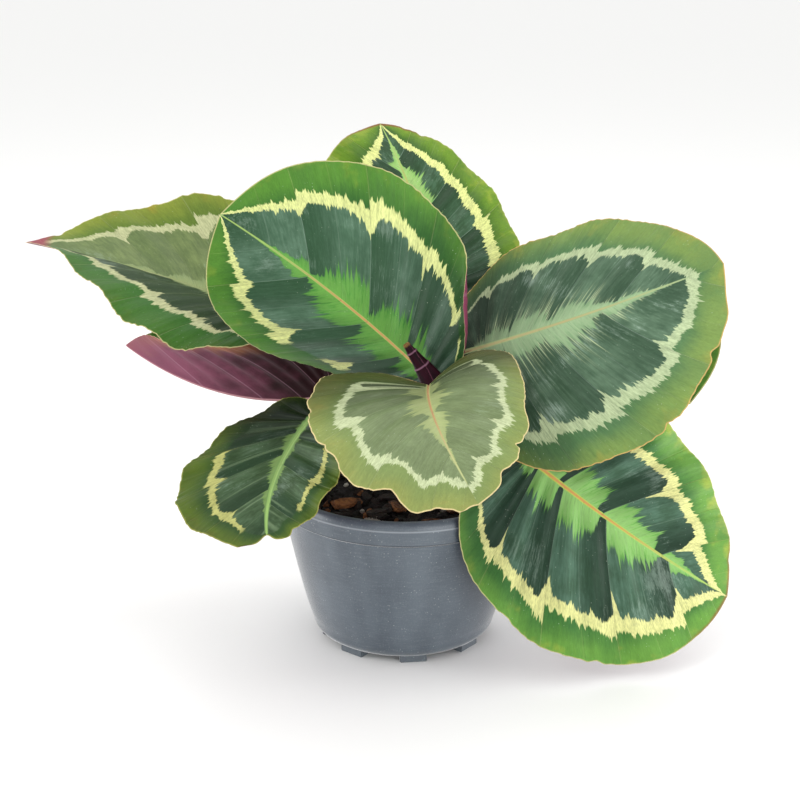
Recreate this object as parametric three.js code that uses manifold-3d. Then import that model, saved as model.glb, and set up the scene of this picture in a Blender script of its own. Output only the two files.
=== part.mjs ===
// Potted calathea: a round-leaved prayer plant in a 14 cm plastic nursery pot.
// Millimetres, +Z up. The origin is on the pot's axis, on the surface it stands on, and +X is
// to the right of someone who faces the plant's front (-Y).
import * as THREE from "three";
import { mergeVertices } from "three/addons/utils/BufferGeometryUtils.js";
import Module from "manifold-3d";

const wasm = await Module();
wasm.setup();

// ---- driving dimensions ----------------------------------------------------------------------

const GAP = 0.3; // clearance between pieces that touch on the real plant

const POT = {
  rimRadius: 70,
  height: 92,
  lipDrop: 5, // height of the lip's rounded shoulder
  lipIn: 3.5, // and how far it curves in
  lipInside: 2, // the inside edge is this much lower than the top
  bandBottom: 78, // lower edge of the rim band
  bandSlant: 0.8,
  bandStep: 1.6, // the wall stands back this far below the band
  baseRadius: 52, // outside radius where the wall turns in to the floor
  baseRound: 6.5,
  cornerHeight: 10.5,
  flare: 0.84, // below 1 the wall bulges a little between base and band
  rings: [22, 40, 60], // heights between base and band where the wall's slope changes
  floorUnder: 4, // underside of the floor
  floorTop: 6,
  wall: 1.6,
  sides: 48,
};
const FEET = { count: 8, inner: 41, outer: 47.2, width: 15, turn: 0.9, sunk: 0.8 };
const HUB = { radius: 10, sides: 24 }; // flat round foot in the middle of the floor
const DRAINS = { count: 8, radius: 4, ring: 28, sides: 10 };

const SOIL = {
  top: 84,
  crown: 2.5, // how much higher it is in the middle
  crownSpread: 30,
  bottom: POT.floorTop + 2 * GAP,
  bottomRadius: 44,
  cornerTop: POT.cornerHeight + 4, // its side slopes in from here to the bottom
  bevel: 1,
  wallGap: 0.5,
  sides: 40,
  rings: 5,
};
const HOLE = { room: 0.6, sides: 9 }; // room round a stalk in its hole in the soil
const BARK = {
  count: 38,
  long: 16,
  wide: 8,
  thick: 3.4,
  smallest: 0.55, // size of the smallest chip beside the largest
  taper: 0.65, // width of a chip's narrow end beside its wide one
  tilt: 0.25, // radians
  low: -0.2, // a chip's middle lies from this far above the soil
  high: 1, // to this far
  seed: 7,
};

const BLADE_THICKNESS = 0.8;
const ROWS = 22; // veins along a blade
const SPANS = 5; // steps from the midrib to the margin
const RIB_DEPTH = 1.3; // how far the midrib stands out below the blade at its base
const LOBE_AT = 0.12; // where along the margin the basal lobes reach back furthest
const FULLNESS = 0.92; // below 1 the outline is fuller than a sine curve
const TIP_POWER = 14; // how sharply the point is drawn out
const VEIN_POWER = 2.6; // the side veins crowd towards the base of the midrib
const VEIN_EVEN = 0.1; // the share of them that is spread evenly
const VEIN_BEND = 1.15; // they sweep forward as they near the margin
const WAVE_SHIFT = 0.37; // the right half's waves run this much ahead of the left half's
const FLAT = 0.1; // curl of a half that counts as flat, in degrees
const RIB_PARTS = 24; // steps in which the midrib's curve is added up

// One entry per leaf. base is where the stalk meets the blade. heading and rise aim the midrib
// (degrees from +X, and above level), swing and droop are how much they change towards the tip.
// roll and twist turn the blade about its midrib. lobe is how far the two halves reach back
// beside the stalk, tip the length of the drawn-out point, widest places the greatest width
// (lower is nearer the base) and skew makes the left half broader. fold tilts each half up from
// the midrib and curl bends it towards its margin, left half first. ease flattens the fold
// towards the tip. wave and waves are the height and number of the margin's waves, and pleat
// the height of the corrugation between side veins. root is where the stalk
// leaves the soil, and bow pushes its lower half aside.
const LEAVES = [
  {
    name: "left_front", base: [17, -17, 152], heading: 159, rise: 41, droop: 7, swing: 25,
    roll: -118, twist: 35, length: 144, width: 148, lobe: 6, tip: 4, widest: 0.92, skew: -0.01,
    fold: [-9, 1], curl: [-29, -33], ease: 0.5, wave: 1.8, waves: 4, pleat: 0.8, root: [8, 0],
  },
  {
    name: "back_top", base: [23, 30, 184], heading: 108, rise: 51, droop: 18, swing: 8,
    roll: -1, twist: 2, length: 129, width: 124, lobe: 8, tip: 4, widest: 0.85, skew: 0.02,
    fold: [5, 4], curl: [-16, -24], ease: 0.5, wave: 2, waves: 5, pleat: 0.8, root: [11.5, 12],
  },
  {
    name: "right_upper", base: [37, -19, 172], heading: -20, rise: 21, droop: -4, swing: 11,
    roll: 45, twist: -10, length: 138, width: 145, lobe: 11, tip: 3, widest: 0.88, skew: -0.11,
    fold: [1, -4], curl: [-9, -27], ease: 0.5, wave: 2, waves: 4, pleat: 0.8, root: [20.5, 0],
  },
  {
    name: "right_lower", base: [63, -50, 124], heading: -4, rise: -40, droop: -6, swing: 19,
    roll: 63, twist: -1, length: 142, width: 143, lobe: 16, tip: 4, widest: 0.88, skew: -0.08,
    fold: [8, 4], curl: [-19, -29], ease: 0.5, wave: 2.4, waves: 5, pleat: 1.6, root: [18, -7.7],
  },
  {
    name: "front_centre", base: [13, -54, 163], heading: -95, rise: 4, droop: 38, swing: 36,
    roll: 17, twist: 4, length: 106, width: 111, lobe: 22, tip: 2, widest: 0.72, skew: -0.11,
    fold: [26, 24], curl: [-48, -12], ease: 0.8, wave: 1.8, waves: 4, pleat: 0.6, root: [3.5, -11.7],
  },
  {
    name: "left_lower", base: [-48, -26, 138], heading: 238, rise: -23, droop: -9, swing: 42,
    roll: 11, twist: -6, length: 107, width: 95, lobe: 16, tip: 0, widest: 0.93, skew: -0.1,
    fold: [25, 3], curl: [0, 0], ease: 0.5, wave: 2.2, waves: 6, pleat: 1, root: [-3.7, -4.3],
  },
  {
    name: "far_left", base: [-61, 75, 156], heading: 146, rise: 15, droop: 1, swing: 43,
    roll: -7, twist: 18, length: 167, width: 148, lobe: 1, tip: 16, widest: 0.84, skew: 0.01,
    fold: [22, 33], curl: [-49, 32], ease: 0.5, wave: 2.6, waves: 5, pleat: 1, root: [3.3, 11.6],
    bow: [4, 22, 12],
  },
  {
    name: "folded_left", base: [-39, 61, 122], heading: 158, rise: -20, droop: -51, swing: 0,
    roll: 15, twist: -10, length: 144, width: 112, lobe: 7, tip: 6, widest: 0.88, skew: 0.06,
    fold: [55, 58], curl: [-33, 5], ease: 0, wave: 1.2, waves: 4, pleat: 0.8, root: [-3, 6],
  },
  {
    name: "right_back", base: [55, 25, 171], heading: -37, rise: 29, droop: 72, swing: -13,
    roll: 30, twist: 2, length: 131, width: 107, lobe: 5, tip: 6, widest: 0.97, skew: 0.06,
    fold: [11, 10], curl: [-16, -20], ease: 0.5, wave: 2, waves: 4, pleat: 1, root: [18, 7.5],
  },
];
const STALK = {
  depth: 14, // how deep it stands in the soil
  footRadius: 2.7,
  neckRadius: 1.7,
  jointRadius: 2.2,
  endRadius: 1.3,
  sheath: 0.5, // the share of it that is thickened by its sheath
  jointStart: 0.8, // the swollen joint's place along it
  jointTaper: 0.08,
  climb: 0.45, // handles of its curve, as shares of its reach
  arrive: 0.25,
  lean: 0.8, // it meets the blade this steeply: up towards the blade, per length along it
  under: 0.02, // and ends under the midrib, this fraction along it
  steps: 14,
  sides: 7,
};
const NEW_LEAF = {
  path: [[12, -12, 71], [17, -15, 104], [23, -26, 134], [16, -34, 157], [1, -36, 180]],
  footRadius: 2.7,
  rollRadius: 6.2,
  endRadius: 3.2,
  rollStart: 0.42, // the rolled blade's place along it
  rollTaper: 0.25,
  endStart: 0.72,
  lap: 0.8, // height of the step where the rolled leaf laps over itself
  turns: 0.7, // how far that step winds round
  steps: 18,
  sides: 14,
};

// ---- colours and finish ----------------------------------------------------------------------

const FINISH = {
  pot: { color: 0x6a727c, roughness: 0.45, metalness: 0 },
  soil: { color: 0x2a201a, roughness: 0.95, metalness: 0 },
  leaf: { color: 0x2f6b3c, roughness: 0.4, metalness: 0 },
  stalk: { color: 0x7a8a4a, roughness: 0.5, metalness: 0 },
  newLeaf: { color: 0x5a2740, roughness: 0.45, metalness: 0 },
};

// ---- geometry helpers ------------------------------------------------------------------------

const rad = THREE.MathUtils.degToRad;
const clamp = THREE.MathUtils.clamp;
const lerp = THREE.MathUtils.lerp;

// A closed geometry as a solid that can be cut and joined.
function solid(geometry) {
  const bare = new THREE.BufferGeometry();
  bare.setAttribute("position", geometry.getAttribute("position"));
  bare.setIndex(geometry.index);
  const merged = mergeVertices(bare, 1e-3);
  return new wasm.Manifold(
    new wasm.Mesh({
      numProp: 3,
      vertProperties: merged.attributes.position.array,
      triVerts: new Uint32Array(merged.index.array),
    }),
  );
}

function geometryOf(made) {
  const mesh = made.getMesh();
  const geometry = new THREE.BufferGeometry();
  geometry.setAttribute("position", new THREE.BufferAttribute(mesh.vertProperties, 3));
  geometry.setIndex(new THREE.BufferAttribute(mesh.triVerts, 1));
  return geometry;
}

function indexed(points, faces) {
  const geometry = new THREE.BufferGeometry();
  const numbers = points.flatMap((p) => [p.x, p.y, p.z]);
  geometry.setAttribute("position", new THREE.Float32BufferAttribute(numbers, 3));
  geometry.setIndex(faces.flat());
  return geometry;
}

// A profile of [radius, height] pairs turned about +Z.
function turned(profile, sides) {
  const points = profile.map(([r, z]) => new THREE.Vector2(r, z));
  return new THREE.LatheGeometry(points, sides).rotateX(Math.PI / 2);
}

// An upright cylinder between two heights.
function post(x, y, z0, z1, radius, sides) {
  const geometry = new THREE.CylinderGeometry(radius, radius, z1 - z0, sides);
  return geometry.rotateX(Math.PI / 2).translate(x, y, (z0 + z1) / 2);
}

// A repeatable stream of numbers from 0 to 1.
function seeded(seed) {
  let state = seed;
  return () => {
    state = (state * 16807) % 2147483647;
    return state / 2147483647;
  };
}

// A closed tube along a curve. radiusAt(fraction, angle) gives the section.
function sweep(curve, steps, sides, radiusAt) {
  const frames = curve.computeFrenetFrames(steps, false);
  const points = [];
  const faces = [];
  for (let i = 0; i <= steps; i++) {
    const centre = curve.getPointAt(i / steps);
    for (let k = 0; k < sides; k++) {
      const angle = (2 * Math.PI * k) / sides;
      const r = radiusAt(i / steps, k / sides);
      const across = frames.normals[i].clone().multiplyScalar(r * Math.cos(angle));
      const up = frames.binormals[i].clone().multiplyScalar(r * Math.sin(angle));
      points.push(centre.clone().add(across).add(up));
    }
  }
  const start = points.push(curve.getPointAt(0)) - 1;
  const end = points.push(curve.getPointAt(1)) - 1;
  for (let k = 0; k < sides; k++) {
    const next = (k + 1) % sides;
    faces.push([start, next, k]);
    faces.push([end, steps * sides + k, steps * sides + next]);
    for (let i = 0; i < steps; i++) {
      const a = i * sides + k;
      const b = i * sides + next;
      faces.push([a, b, a + sides], [b, b + sides, a + sides]);
    }
  }
  return indexed(points, faces);
}

// ---- leaf blade ------------------------------------------------------------------------------

// The midrib's direction, the direction across the left half, and the upper side's normal.
function ribFrame(leaf, s) {
  const rise = rad(leaf.rise - leaf.droop * s);
  const heading = rad(leaf.heading + leaf.swing * s);
  const roll = rad(leaf.roll + leaf.twist * s);
  const along = new THREE.Vector3(
    Math.cos(rise) * Math.cos(heading),
    Math.cos(rise) * Math.sin(heading),
    Math.sin(rise),
  );
  const level = new THREE.Vector3(-Math.sin(heading), Math.cos(heading), 0);
  const across = level.applyAxisAngle(along, roll);
  const normal = new THREE.Vector3().crossVectors(along, across);
  return { along, across, normal };
}

// The point of the midrib at fraction s of its length, straight on behind the base for s < 0.
function ribPoint(leaf, s) {
  const reach = leaf.length + leaf.tip;
  const point = new THREE.Vector3(...leaf.base);
  const parts = clamp(s, 0, 1) * RIB_PARTS;
  for (let k = 0; k < parts; k++) {
    const share = Math.min(1, parts - k);
    const { along } = ribFrame(leaf, (k + 0.5) / RIB_PARTS);
    point.addScaledVector(along, (share * reach) / RIB_PARTS);
  }
  return point.addScaledVector(ribFrame(leaf, 0).along, Math.min(s, 0) * reach);
}

// The flat outline: distance along the midrib and out from it, at fraction t of the margin.
function margin(leaf, t, side) {
  const lobe = leaf.lobe * (t / LOBE_AT) * Math.exp(1 - t / LOBE_AT);
  const along = (leaf.length * (1 - Math.cos(Math.PI * t))) / 2 - lobe + leaf.tip * t ** TIP_POWER;
  const half = (leaf.width / 2) * (1 + leaf.skew * side);
  const out = half * Math.abs(Math.sin(Math.PI * t ** leaf.widest)) ** FULLNESS;
  return { along, out };
}

// The blade's middle surface: t picks a vein, u runs from -1 (right margin) to 1 (left margin).
function bladePoint(leaf, t, u) {
  const side = u > 0 ? 1 : -1;
  const half = side > 0 ? 0 : 1;
  const v = Math.abs(u);
  const reach = leaf.length + leaf.tip;
  const edge = margin(leaf, t, side);
  const start = reach * lerp(t ** VEIN_POWER, t, VEIN_EVEN);
  const l = start + (edge.along - start) * v ** VEIN_BEND;
  const x = edge.out * v;
  const s = l / reach;
  const frame = ribFrame(leaf, clamp(s, 0, 1));
  const fold = rad(leaf.fold[half]) * (1 - leaf.ease * clamp(s, 0, 1));
  const bend = rad(leaf.curl[half] || FLAT) / (leaf.width / 2);
  const turn = 2 * Math.PI * (leaf.waves * t + WAVE_SHIFT * half);
  const wave = leaf.wave * v ** 3 * Math.sin(turn);
  const pleat = leaf.pleat * 4 * v * (1 - v) * Math.cos(Math.PI * ROWS * t);
  const sideways = (Math.sin(fold + bend * x) - Math.sin(fold)) / bend;
  const lift = (Math.cos(fold) - Math.cos(fold + bend * x)) / bend;
  return ribPoint(leaf, s)
    .addScaledVector(frame.across, side * sideways)
    .addScaledVector(frame.normal, lift + (wave + pleat) * Math.sin(Math.PI * t));
}

// A closed thin solid: the middle surface moved out to both sides and joined at the margin.
function bladeSolid(leaf) {
  const columns = 2 * SPANS + 1;
  const middle = [bladePoint(leaf, 0, 0)];
  for (let j = 1; j < ROWS; j++)
    for (let i = -SPANS; i <= SPANS; i++) middle.push(bladePoint(leaf, j / ROWS, i / SPANS));
  const tip = middle.push(bladePoint(leaf, 1, 0)) - 1;
  const at = (j, i) => 1 + (j - 1) * columns + i;
  const faces = [];
  for (let i = 0; i < columns - 1; i++) {
    faces.push([0, at(1, i), at(1, i + 1)]);
    faces.push([tip, at(ROWS - 1, i + 1), at(ROWS - 1, i)]);
    for (let j = 1; j < ROWS - 1; j++) {
      const [a, b, c, d] = [at(j, i), at(j, i + 1), at(j + 1, i), at(j + 1, i + 1)];
      if (i < SPANS) faces.push([a, c, b], [b, c, d]);
      else faces.push([a, d, b], [a, c, d]);
    }
  }
  const sheet = indexed(middle, faces);
  sheet.computeVertexNormals();
  const normals = sheet.getAttribute("normal");
  const count = middle.length;
  const upper = [];
  const lower = [];
  middle.forEach((p, n) => {
    const normal = new THREE.Vector3().fromBufferAttribute(normals, n);
    const row = Math.floor((n - 1) / columns) + 1;
    const onRib = n > 0 && n < tip && (n - 1) % columns === SPANS;
    const ridge = onRib ? RIB_DEPTH * (1 - row / ROWS) : 0;
    upper.push(p.clone().addScaledVector(normal, BLADE_THICKNESS / 2));
    lower.push(p.clone().addScaledVector(normal, -BLADE_THICKNESS / 2 - ridge));
  });
  const rim = [0];
  for (let j = 1; j < ROWS; j++) rim.push(at(j, 0));
  rim.push(tip);
  for (let j = ROWS - 1; j > 0; j--) rim.push(at(j, columns - 1));
  const walls = rim.flatMap((a, k) => {
    const b = rim[(k + 1) % rim.length];
    return [[a, a + count, b], [b, a + count, b + count]];
  });
  const under = faces.map(([a, b, c]) => [a + count, c + count, b + count]);
  return indexed([...upper, ...lower], [...faces, ...under, ...walls]);
}

// ---- stalks ----------------------------------------------------------------------------------

// From the crown in the soil to just under the midrib, deeper by the room at a hole's bottom.
function stalkCurve(leaf, deeper = 0) {
  const { along, normal } = ribFrame(leaf, 0);
  const endRise = STALK.endRadius / Math.hypot(1, STALK.lean);
  const below = BLADE_THICKNESS / 2 + RIB_DEPTH + GAP + endRise;
  const foot = new THREE.Vector3(...leaf.root, SOIL.top - STALK.depth - deeper);
  const end = ribPoint(leaf, STALK.under).addScaledVector(normal, -below);
  const reach = foot.distanceTo(end);
  const climb = new THREE.Vector3(0, 0, reach * STALK.climb);
  const arrive = along.clone().addScaledVector(normal, STALK.lean).setLength(reach * STALK.arrive);
  const bow = new THREE.Vector3(...(leaf.bow || [0, 0, 0]));
  return new THREE.CubicBezierCurve3(
    foot,
    foot.clone().add(climb).add(bow),
    end.clone().sub(arrive),
    end,
  );
}

// Thick where it sheathes the crown, slim above, with the swollen joint below the blade.
function stalkRadius(fraction) {
  if (fraction === 1) return STALK.endRadius;
  const sheath = Math.max(0, 1 - fraction / STALK.sheath) ** 1.5;
  const joint = clamp((fraction - STALK.jointStart) / STALK.jointTaper, 0, 1);
  return lerp(lerp(STALK.neckRadius, STALK.footRadius, sheath), STALK.jointRadius, joint);
}

// ---- new leaf --------------------------------------------------------------------------------

function newLeafCurve(deeper = 0) {
  const points = NEW_LEAF.path.map((p) => new THREE.Vector3(...p));
  points[0].z -= deeper;
  return new THREE.CatmullRomCurve3(points);
}

// The section is a spiral: it loses the height of the lap once round.
function newLeafRadius(fraction, around) {
  const { footRadius, rollRadius, endRadius, rollStart, rollTaper, endStart } = NEW_LEAF;
  const rolled = clamp((fraction - rollStart) / rollTaper, 0, 1);
  const end = clamp((fraction - endStart) / (1 - endStart), 0, 1);
  const body = lerp(footRadius, rollRadius, rolled);
  const edge = THREE.MathUtils.euclideanModulo(around - NEW_LEAF.turns * fraction, 1);
  return lerp(body, endRadius, end) - NEW_LEAF.lap * rolled * edge;
}

// ---- pot and soil ----------------------------------------------------------------------------

// Radius of the pot's outside at a height between the corner and the rim band.
function wallRadius(z) {
  const rise = (z - POT.cornerHeight) / (POT.bandBottom - POT.cornerHeight);
  return lerp(POT.baseRadius, POT.rimRadius - POT.bandStep, clamp(rise, 0, 1) ** POT.flare);
}

function innerRadius(z) {
  return Math.min(wallRadius(z), POT.rimRadius - POT.lipIn) - POT.wall;
}

// The pot's section, out along the underside and up, then down inside and back along the floor.
function potProfile() {
  const { rimRadius, height, lipDrop, lipIn, bandBottom, baseRadius, baseRound } = POT;
  const { cornerHeight, floorUnder, floorTop, rings } = POT;
  const profile = [[0, floorUnder]];
  for (let a = 0; a <= 3; a++) {
    const turn = (Math.PI / 6) * a;
    const rise = (cornerHeight - floorUnder) * Math.cos(turn);
    profile.push([baseRadius - baseRound * (1 - Math.sin(turn)), cornerHeight - rise]);
  }
  for (const z of [...rings, bandBottom]) profile.push([wallRadius(z), z]);
  profile.push([rimRadius, bandBottom + POT.bandSlant]);
  for (let a = 0; a <= 4; a++) {
    const turn = (Math.PI / 8) * a;
    const rise = lipDrop * (1 - Math.sin(turn));
    profile.push([rimRadius - lipIn * (1 - Math.cos(turn)), height - rise]);
  }
  const floorEdge = baseRadius - baseRound;
  for (const z of [height - POT.lipInside, bandBottom]) profile.push([innerRadius(z), z]);
  for (const z of [...rings].reverse()) profile.push([innerRadius(z), z]);
  profile.push([innerRadius(cornerHeight + 2), cornerHeight + 2]);
  profile.push([floorEdge, floorTop], [0, floorTop]);
  return profile;
}

function foot(angle) {
  const depth = FEET.outer - FEET.inner;
  const height = POT.floorUnder + FEET.sunk;
  const box = new THREE.BoxGeometry(depth, FEET.width, height);
  return box.translate(FEET.inner + depth / 2, 0, height / 2).rotateZ(angle);
}

function potSolid() {
  let pot = solid(turned(potProfile(), POT.sides));
  for (let k = 0; k < FEET.count; k++) {
    pot = pot.add(solid(foot(FEET.turn + (2 * Math.PI * k) / FEET.count)));
  }
  pot = pot.add(solid(post(0, 0, 0, POT.floorTop - 1, HUB.radius, HUB.sides)));
  for (let k = 0; k < DRAINS.count; k++) {
    const angle = (2 * Math.PI * (k + 0.5)) / DRAINS.count;
    const x = DRAINS.ring * Math.cos(angle);
    const y = DRAINS.ring * Math.sin(angle);
    pot = pot.subtract(solid(post(x, y, -1, POT.floorTop + 1, DRAINS.radius, DRAINS.sides)));
  }
  return geometryOf(pot);
}

function soilRadius(z) {
  return innerRadius(z) - SOIL.wallGap;
}

function soilHeight(distance) {
  return SOIL.top + SOIL.crown * Math.exp(-((distance / SOIL.crownSpread) ** 2));
}

// One tapered chip, lying at random on the soil.
function barkChip(random) {
  const reach = (soilRadius(SOIL.top) - BARK.long / 2 - 1) * Math.sqrt(random());
  const around = 2 * Math.PI * random();
  const size = lerp(BARK.smallest, 1, random());
  const chip = new THREE.BoxGeometry(BARK.long * size, BARK.wide * size, BARK.thick);
  const corners = chip.getAttribute("position");
  for (let n = 0; n < corners.count; n++) {
    if (corners.getX(n) > 0) corners.setY(n, corners.getY(n) * BARK.taper);
  }
  chip.rotateX(lerp(-BARK.tilt, BARK.tilt, random()));
  chip.rotateY(lerp(-BARK.tilt, BARK.tilt, random()));
  chip.rotateZ(Math.PI * random());
  const z = soilHeight(reach) + lerp(BARK.low, BARK.high, random());
  return chip.translate(reach * Math.cos(around), reach * Math.sin(around), z);
}

function soilBody() {
  const edge = soilRadius(SOIL.top) - SOIL.bevel;
  const profile = [[0, SOIL.bottom], [SOIL.bottomRadius, SOIL.bottom]];
  for (const z of [SOIL.cornerTop, ...POT.rings, POT.bandBottom, SOIL.top - SOIL.bevel]) {
    profile.push([soilRadius(z), z]);
  }
  for (let k = SOIL.rings; k >= 0; k--) {
    const r = (edge * k) / SOIL.rings;
    profile.push([r, soilHeight(r)]);
  }
  return solid(turned(profile, SOIL.sides));
}

function soilSolid() {
  let soil = soilBody();
  const random = seeded(BARK.seed);
  for (let k = 0; k < BARK.count; k++) soil = soil.add(solid(barkChip(random)));
  for (const leaf of LEAVES) {
    const room = (f) => stalkRadius(f) + HOLE.room;
    const hole = sweep(stalkCurve(leaf, HOLE.room), STALK.steps, HOLE.sides, room);
    soil = soil.subtract(solid(hole));
  }
  const room = (f, around) => newLeafRadius(f, around) + HOLE.room;
  const hole = sweep(newLeafCurve(HOLE.room), NEW_LEAF.steps, HOLE.sides, room);
  soil = soil.subtract(solid(hole));
  return geometryOf(soil.decompose().sort((a, b) => b.volume() - a.volume())[0]);
}

// ---- the part --------------------------------------------------------------------------------

const group = new THREE.Group();

function addPiece(parent, name, geometry, finish) {
  const mesh = new THREE.Mesh(geometry, new THREE.MeshStandardMaterial(finish));
  mesh.name = name;
  parent.add(mesh);
}

addPiece(group, "pot", potSolid(), FINISH.pot);
addPiece(group, "soil", soilSolid(), FINISH.soil);

const plant = new THREE.Group();
for (const leaf of LEAVES) {
  const stalk = sweep(stalkCurve(leaf), STALK.steps, STALK.sides, stalkRadius);
  addPiece(plant, "leaf_blade_" + leaf.name, bladeSolid(leaf), FINISH.leaf);
  addPiece(plant, "leaf_stalk_" + leaf.name, stalk, FINISH.stalk);
}
const roll = sweep(newLeafCurve(), NEW_LEAF.steps, NEW_LEAF.sides, newLeafRadius);
addPiece(plant, "new_leaf_roll", roll, FINISH.newLeaf);
group.add(plant);

export default group;
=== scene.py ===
"""Looks of the potted calathea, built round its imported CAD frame.

Every leaf, stalk and the pot follow the formulas of part.mjs on a finer grid. The leaf pattern is
painted by shader nodes that read where a point lies between the veins. Lengths are in millimetres
up to the moment a mesh is made, which is in metres.
"""

import math
from types import SimpleNamespace as Values

import bmesh
import bpy
import numpy as np
from mathutils import Matrix, Vector


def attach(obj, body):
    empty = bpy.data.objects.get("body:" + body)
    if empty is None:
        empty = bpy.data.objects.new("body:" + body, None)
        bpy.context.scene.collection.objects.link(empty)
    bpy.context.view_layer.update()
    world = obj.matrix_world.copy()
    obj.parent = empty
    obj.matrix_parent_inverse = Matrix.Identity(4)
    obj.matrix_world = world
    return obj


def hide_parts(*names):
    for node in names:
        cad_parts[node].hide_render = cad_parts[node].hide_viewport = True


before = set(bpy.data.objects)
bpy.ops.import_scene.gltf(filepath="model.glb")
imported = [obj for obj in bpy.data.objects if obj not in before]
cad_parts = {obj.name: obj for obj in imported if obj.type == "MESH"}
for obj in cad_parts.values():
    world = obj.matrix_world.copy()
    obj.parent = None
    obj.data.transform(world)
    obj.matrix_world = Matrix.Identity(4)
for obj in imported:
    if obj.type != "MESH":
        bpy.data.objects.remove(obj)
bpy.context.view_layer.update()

MM = 0.001

# ---- driving dimensions, as in part.mjs ----

GAP = 0.3
POT = Values(
    rim_radius=70, height=92, lip_drop=5, lip_in=3.5, lip_inside=2, band_bottom=78, band_slant=0.8,
    band_step=1.6, base_radius=52, base_round=6.5, corner_height=10.5, flare=0.84, floor_under=4,
    floor_top=6, wall=1.6,
)
FEET = Values(count=8, inner=41, outer=47.2, width=15, turn=0.9, sunk=0.8)
HUB_RADIUS = 10
DRAINS = Values(count=8, radius=4, ring=28)
SOIL = Values(
    top=84, crown=2.5, crown_spread=30, bottom=6.6, bottom_radius=44, corner_top=14.5, wall_gap=0.5,
)
BARK = Values(
    count=38, long=16, wide=8, thick=3.4, smallest=0.55, taper=0.65, tilt=0.25, low=-0.2, high=1,
    seed=7,
)
BLADE_THICKNESS = 0.8
VEINS = 22
RIB_DEPTH = 1.3
LOBE_AT = 0.12
FULLNESS = 0.92
TIP_POWER = 14
VEIN_POWER = 2.6
VEIN_EVEN = 0.1
VEIN_BEND = 1.15
WAVE_SHIFT = 0.37
FLAT = 0.1
RIB_PARTS = 24
STALK_SEAT = 0.9  # how much nearer a stalk's end is to its blade than in part.mjs, in mm
STALK = Values(
    depth=14, foot_radius=2.7, neck_radius=1.7, joint_radius=2.2, end_radius=1.3, sheath=0.5,
    joint_start=0.8, joint_taper=0.08, climb=0.45, arrive=0.25, lean=0.8, under=0.02,
)
# The rolled leaf is slimmer at its end than in part.mjs.
NEW_LEAF = Values(
    path=[(12, -12, 71), (17, -15, 104), (23, -26, 134), (16, -34, 157), (1, -36, 180)],
    foot_radius=2.7, roll_radius=6.2, end_radius=2.1, roll_start=0.42, roll_taper=0.25,
    end_start=0.72, lap=0.8, turns=0.7,
)

# The leaves of part.mjs: see there for what each number does.
LEAF = dict(ease=0.5, bow=(0, 0, 0))
LEAVES = {
    "left_front": dict(
        base=(17, -17, 152), heading=159, rise=41, droop=7, swing=25, roll=-118, twist=35,
        length=144, width=148, lobe=6, tip=4, widest=0.92, skew=-0.01, fold=(-9, 1),
        curl=(-29, -33), wave=1.8, waves=4, pleat=0.8, root=(8, 0),
    ),
    "back_top": dict(
        base=(23, 30, 184), heading=108, rise=51, droop=18, swing=8, roll=-1, twist=2,
        length=129, width=124, lobe=8, tip=4, widest=0.85, skew=0.02, fold=(5, 4),
        curl=(-16, -24), wave=2, waves=5, pleat=0.8, root=(11.5, 12),
    ),
    "right_upper": dict(
        base=(37, -19, 172), heading=-20, rise=21, droop=-4, swing=11, roll=45, twist=-10,
        length=138, width=145, lobe=11, tip=3, widest=0.88, skew=-0.11, fold=(1, -4),
        curl=(-9, -27), wave=2, waves=4, pleat=0.8, root=(20.5, 0),
    ),
    "right_lower": dict(
        base=(63, -50, 124), heading=-4, rise=-40, droop=-6, swing=19, roll=63, twist=-1,
        length=142, width=143, lobe=16, tip=4, widest=0.88, skew=-0.08, fold=(8, 4),
        curl=(-19, -29), wave=2.4, waves=5, pleat=1.6, root=(18, -7.7),
    ),
    "front_centre": dict(
        base=(13, -54, 163), heading=-95, rise=4, droop=38, swing=36, roll=17, twist=4,
        length=106, width=111, lobe=22, tip=2, widest=0.72, skew=-0.11, fold=(26, 24),
        curl=(-48, -12), ease=0.8, wave=1.8, waves=4, pleat=0.6, root=(3.5, -11.7),
    ),
    "left_lower": dict(
        base=(-48, -26, 138), heading=238, rise=-23, droop=-9, swing=42, roll=11, twist=-6,
        length=107, width=95, lobe=16, tip=0, widest=0.93, skew=-0.1, fold=(25, 3),
        curl=(0, 0), wave=2.2, waves=6, pleat=1, root=(-3.7, -4.3),
    ),
    "far_left": dict(
        base=(-61, 75, 156), heading=146, rise=15, droop=1, swing=43, roll=-7, twist=18,
        length=167, width=148, lobe=1, tip=16, widest=0.84, skew=0.01, fold=(22, 33),
        curl=(-49, 32), wave=2.6, waves=5, pleat=1, root=(3.3, 11.6), bow=(4, 22, 12),
    ),
    "folded_left": dict(
        base=(-39, 61, 122), heading=158, rise=-20, droop=-51, swing=0, roll=15, twist=-10,
        length=144, width=112, lobe=7, tip=6, widest=0.88, skew=0.06, fold=(55, 58),
        curl=(-33, 5), ease=0, wave=1.2, waves=4, pleat=0.8, root=(-3, 6),
    ),
    "right_back": dict(
        base=(55, 25, 171), heading=-37, rise=29, droop=72, swing=-13, roll=30, twist=2,
        length=131, width=107, lobe=5, tip=6, widest=0.97, skew=0.06, fold=(11, 10),
        curl=(-16, -20), wave=2, waves=4, pleat=1, root=(18, 7.5),
    ),
}
LEAVES = {name: Values(**{**LEAF, **leaf}) for name, leaf in LEAVES.items()}

# ---- grids of the finer meshes ----

LEAF_ROWS = 176
LEAF_SPANS = 26
SHEET_THICKNESS = 0.5
RIB_WIDTH = 1.1  # half width of the midrib's ridge at the base
GROOVE_DEPTH = 0.25  # of the furrow above the midrib
GROOVE_WIDTH = 0.8
LOBE_SHIFT = 0.22  # how far the band moves inwards on the lobes behind the base
CRINKLE = 0.3  # height of the fine crinkle at a blade's margin

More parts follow.
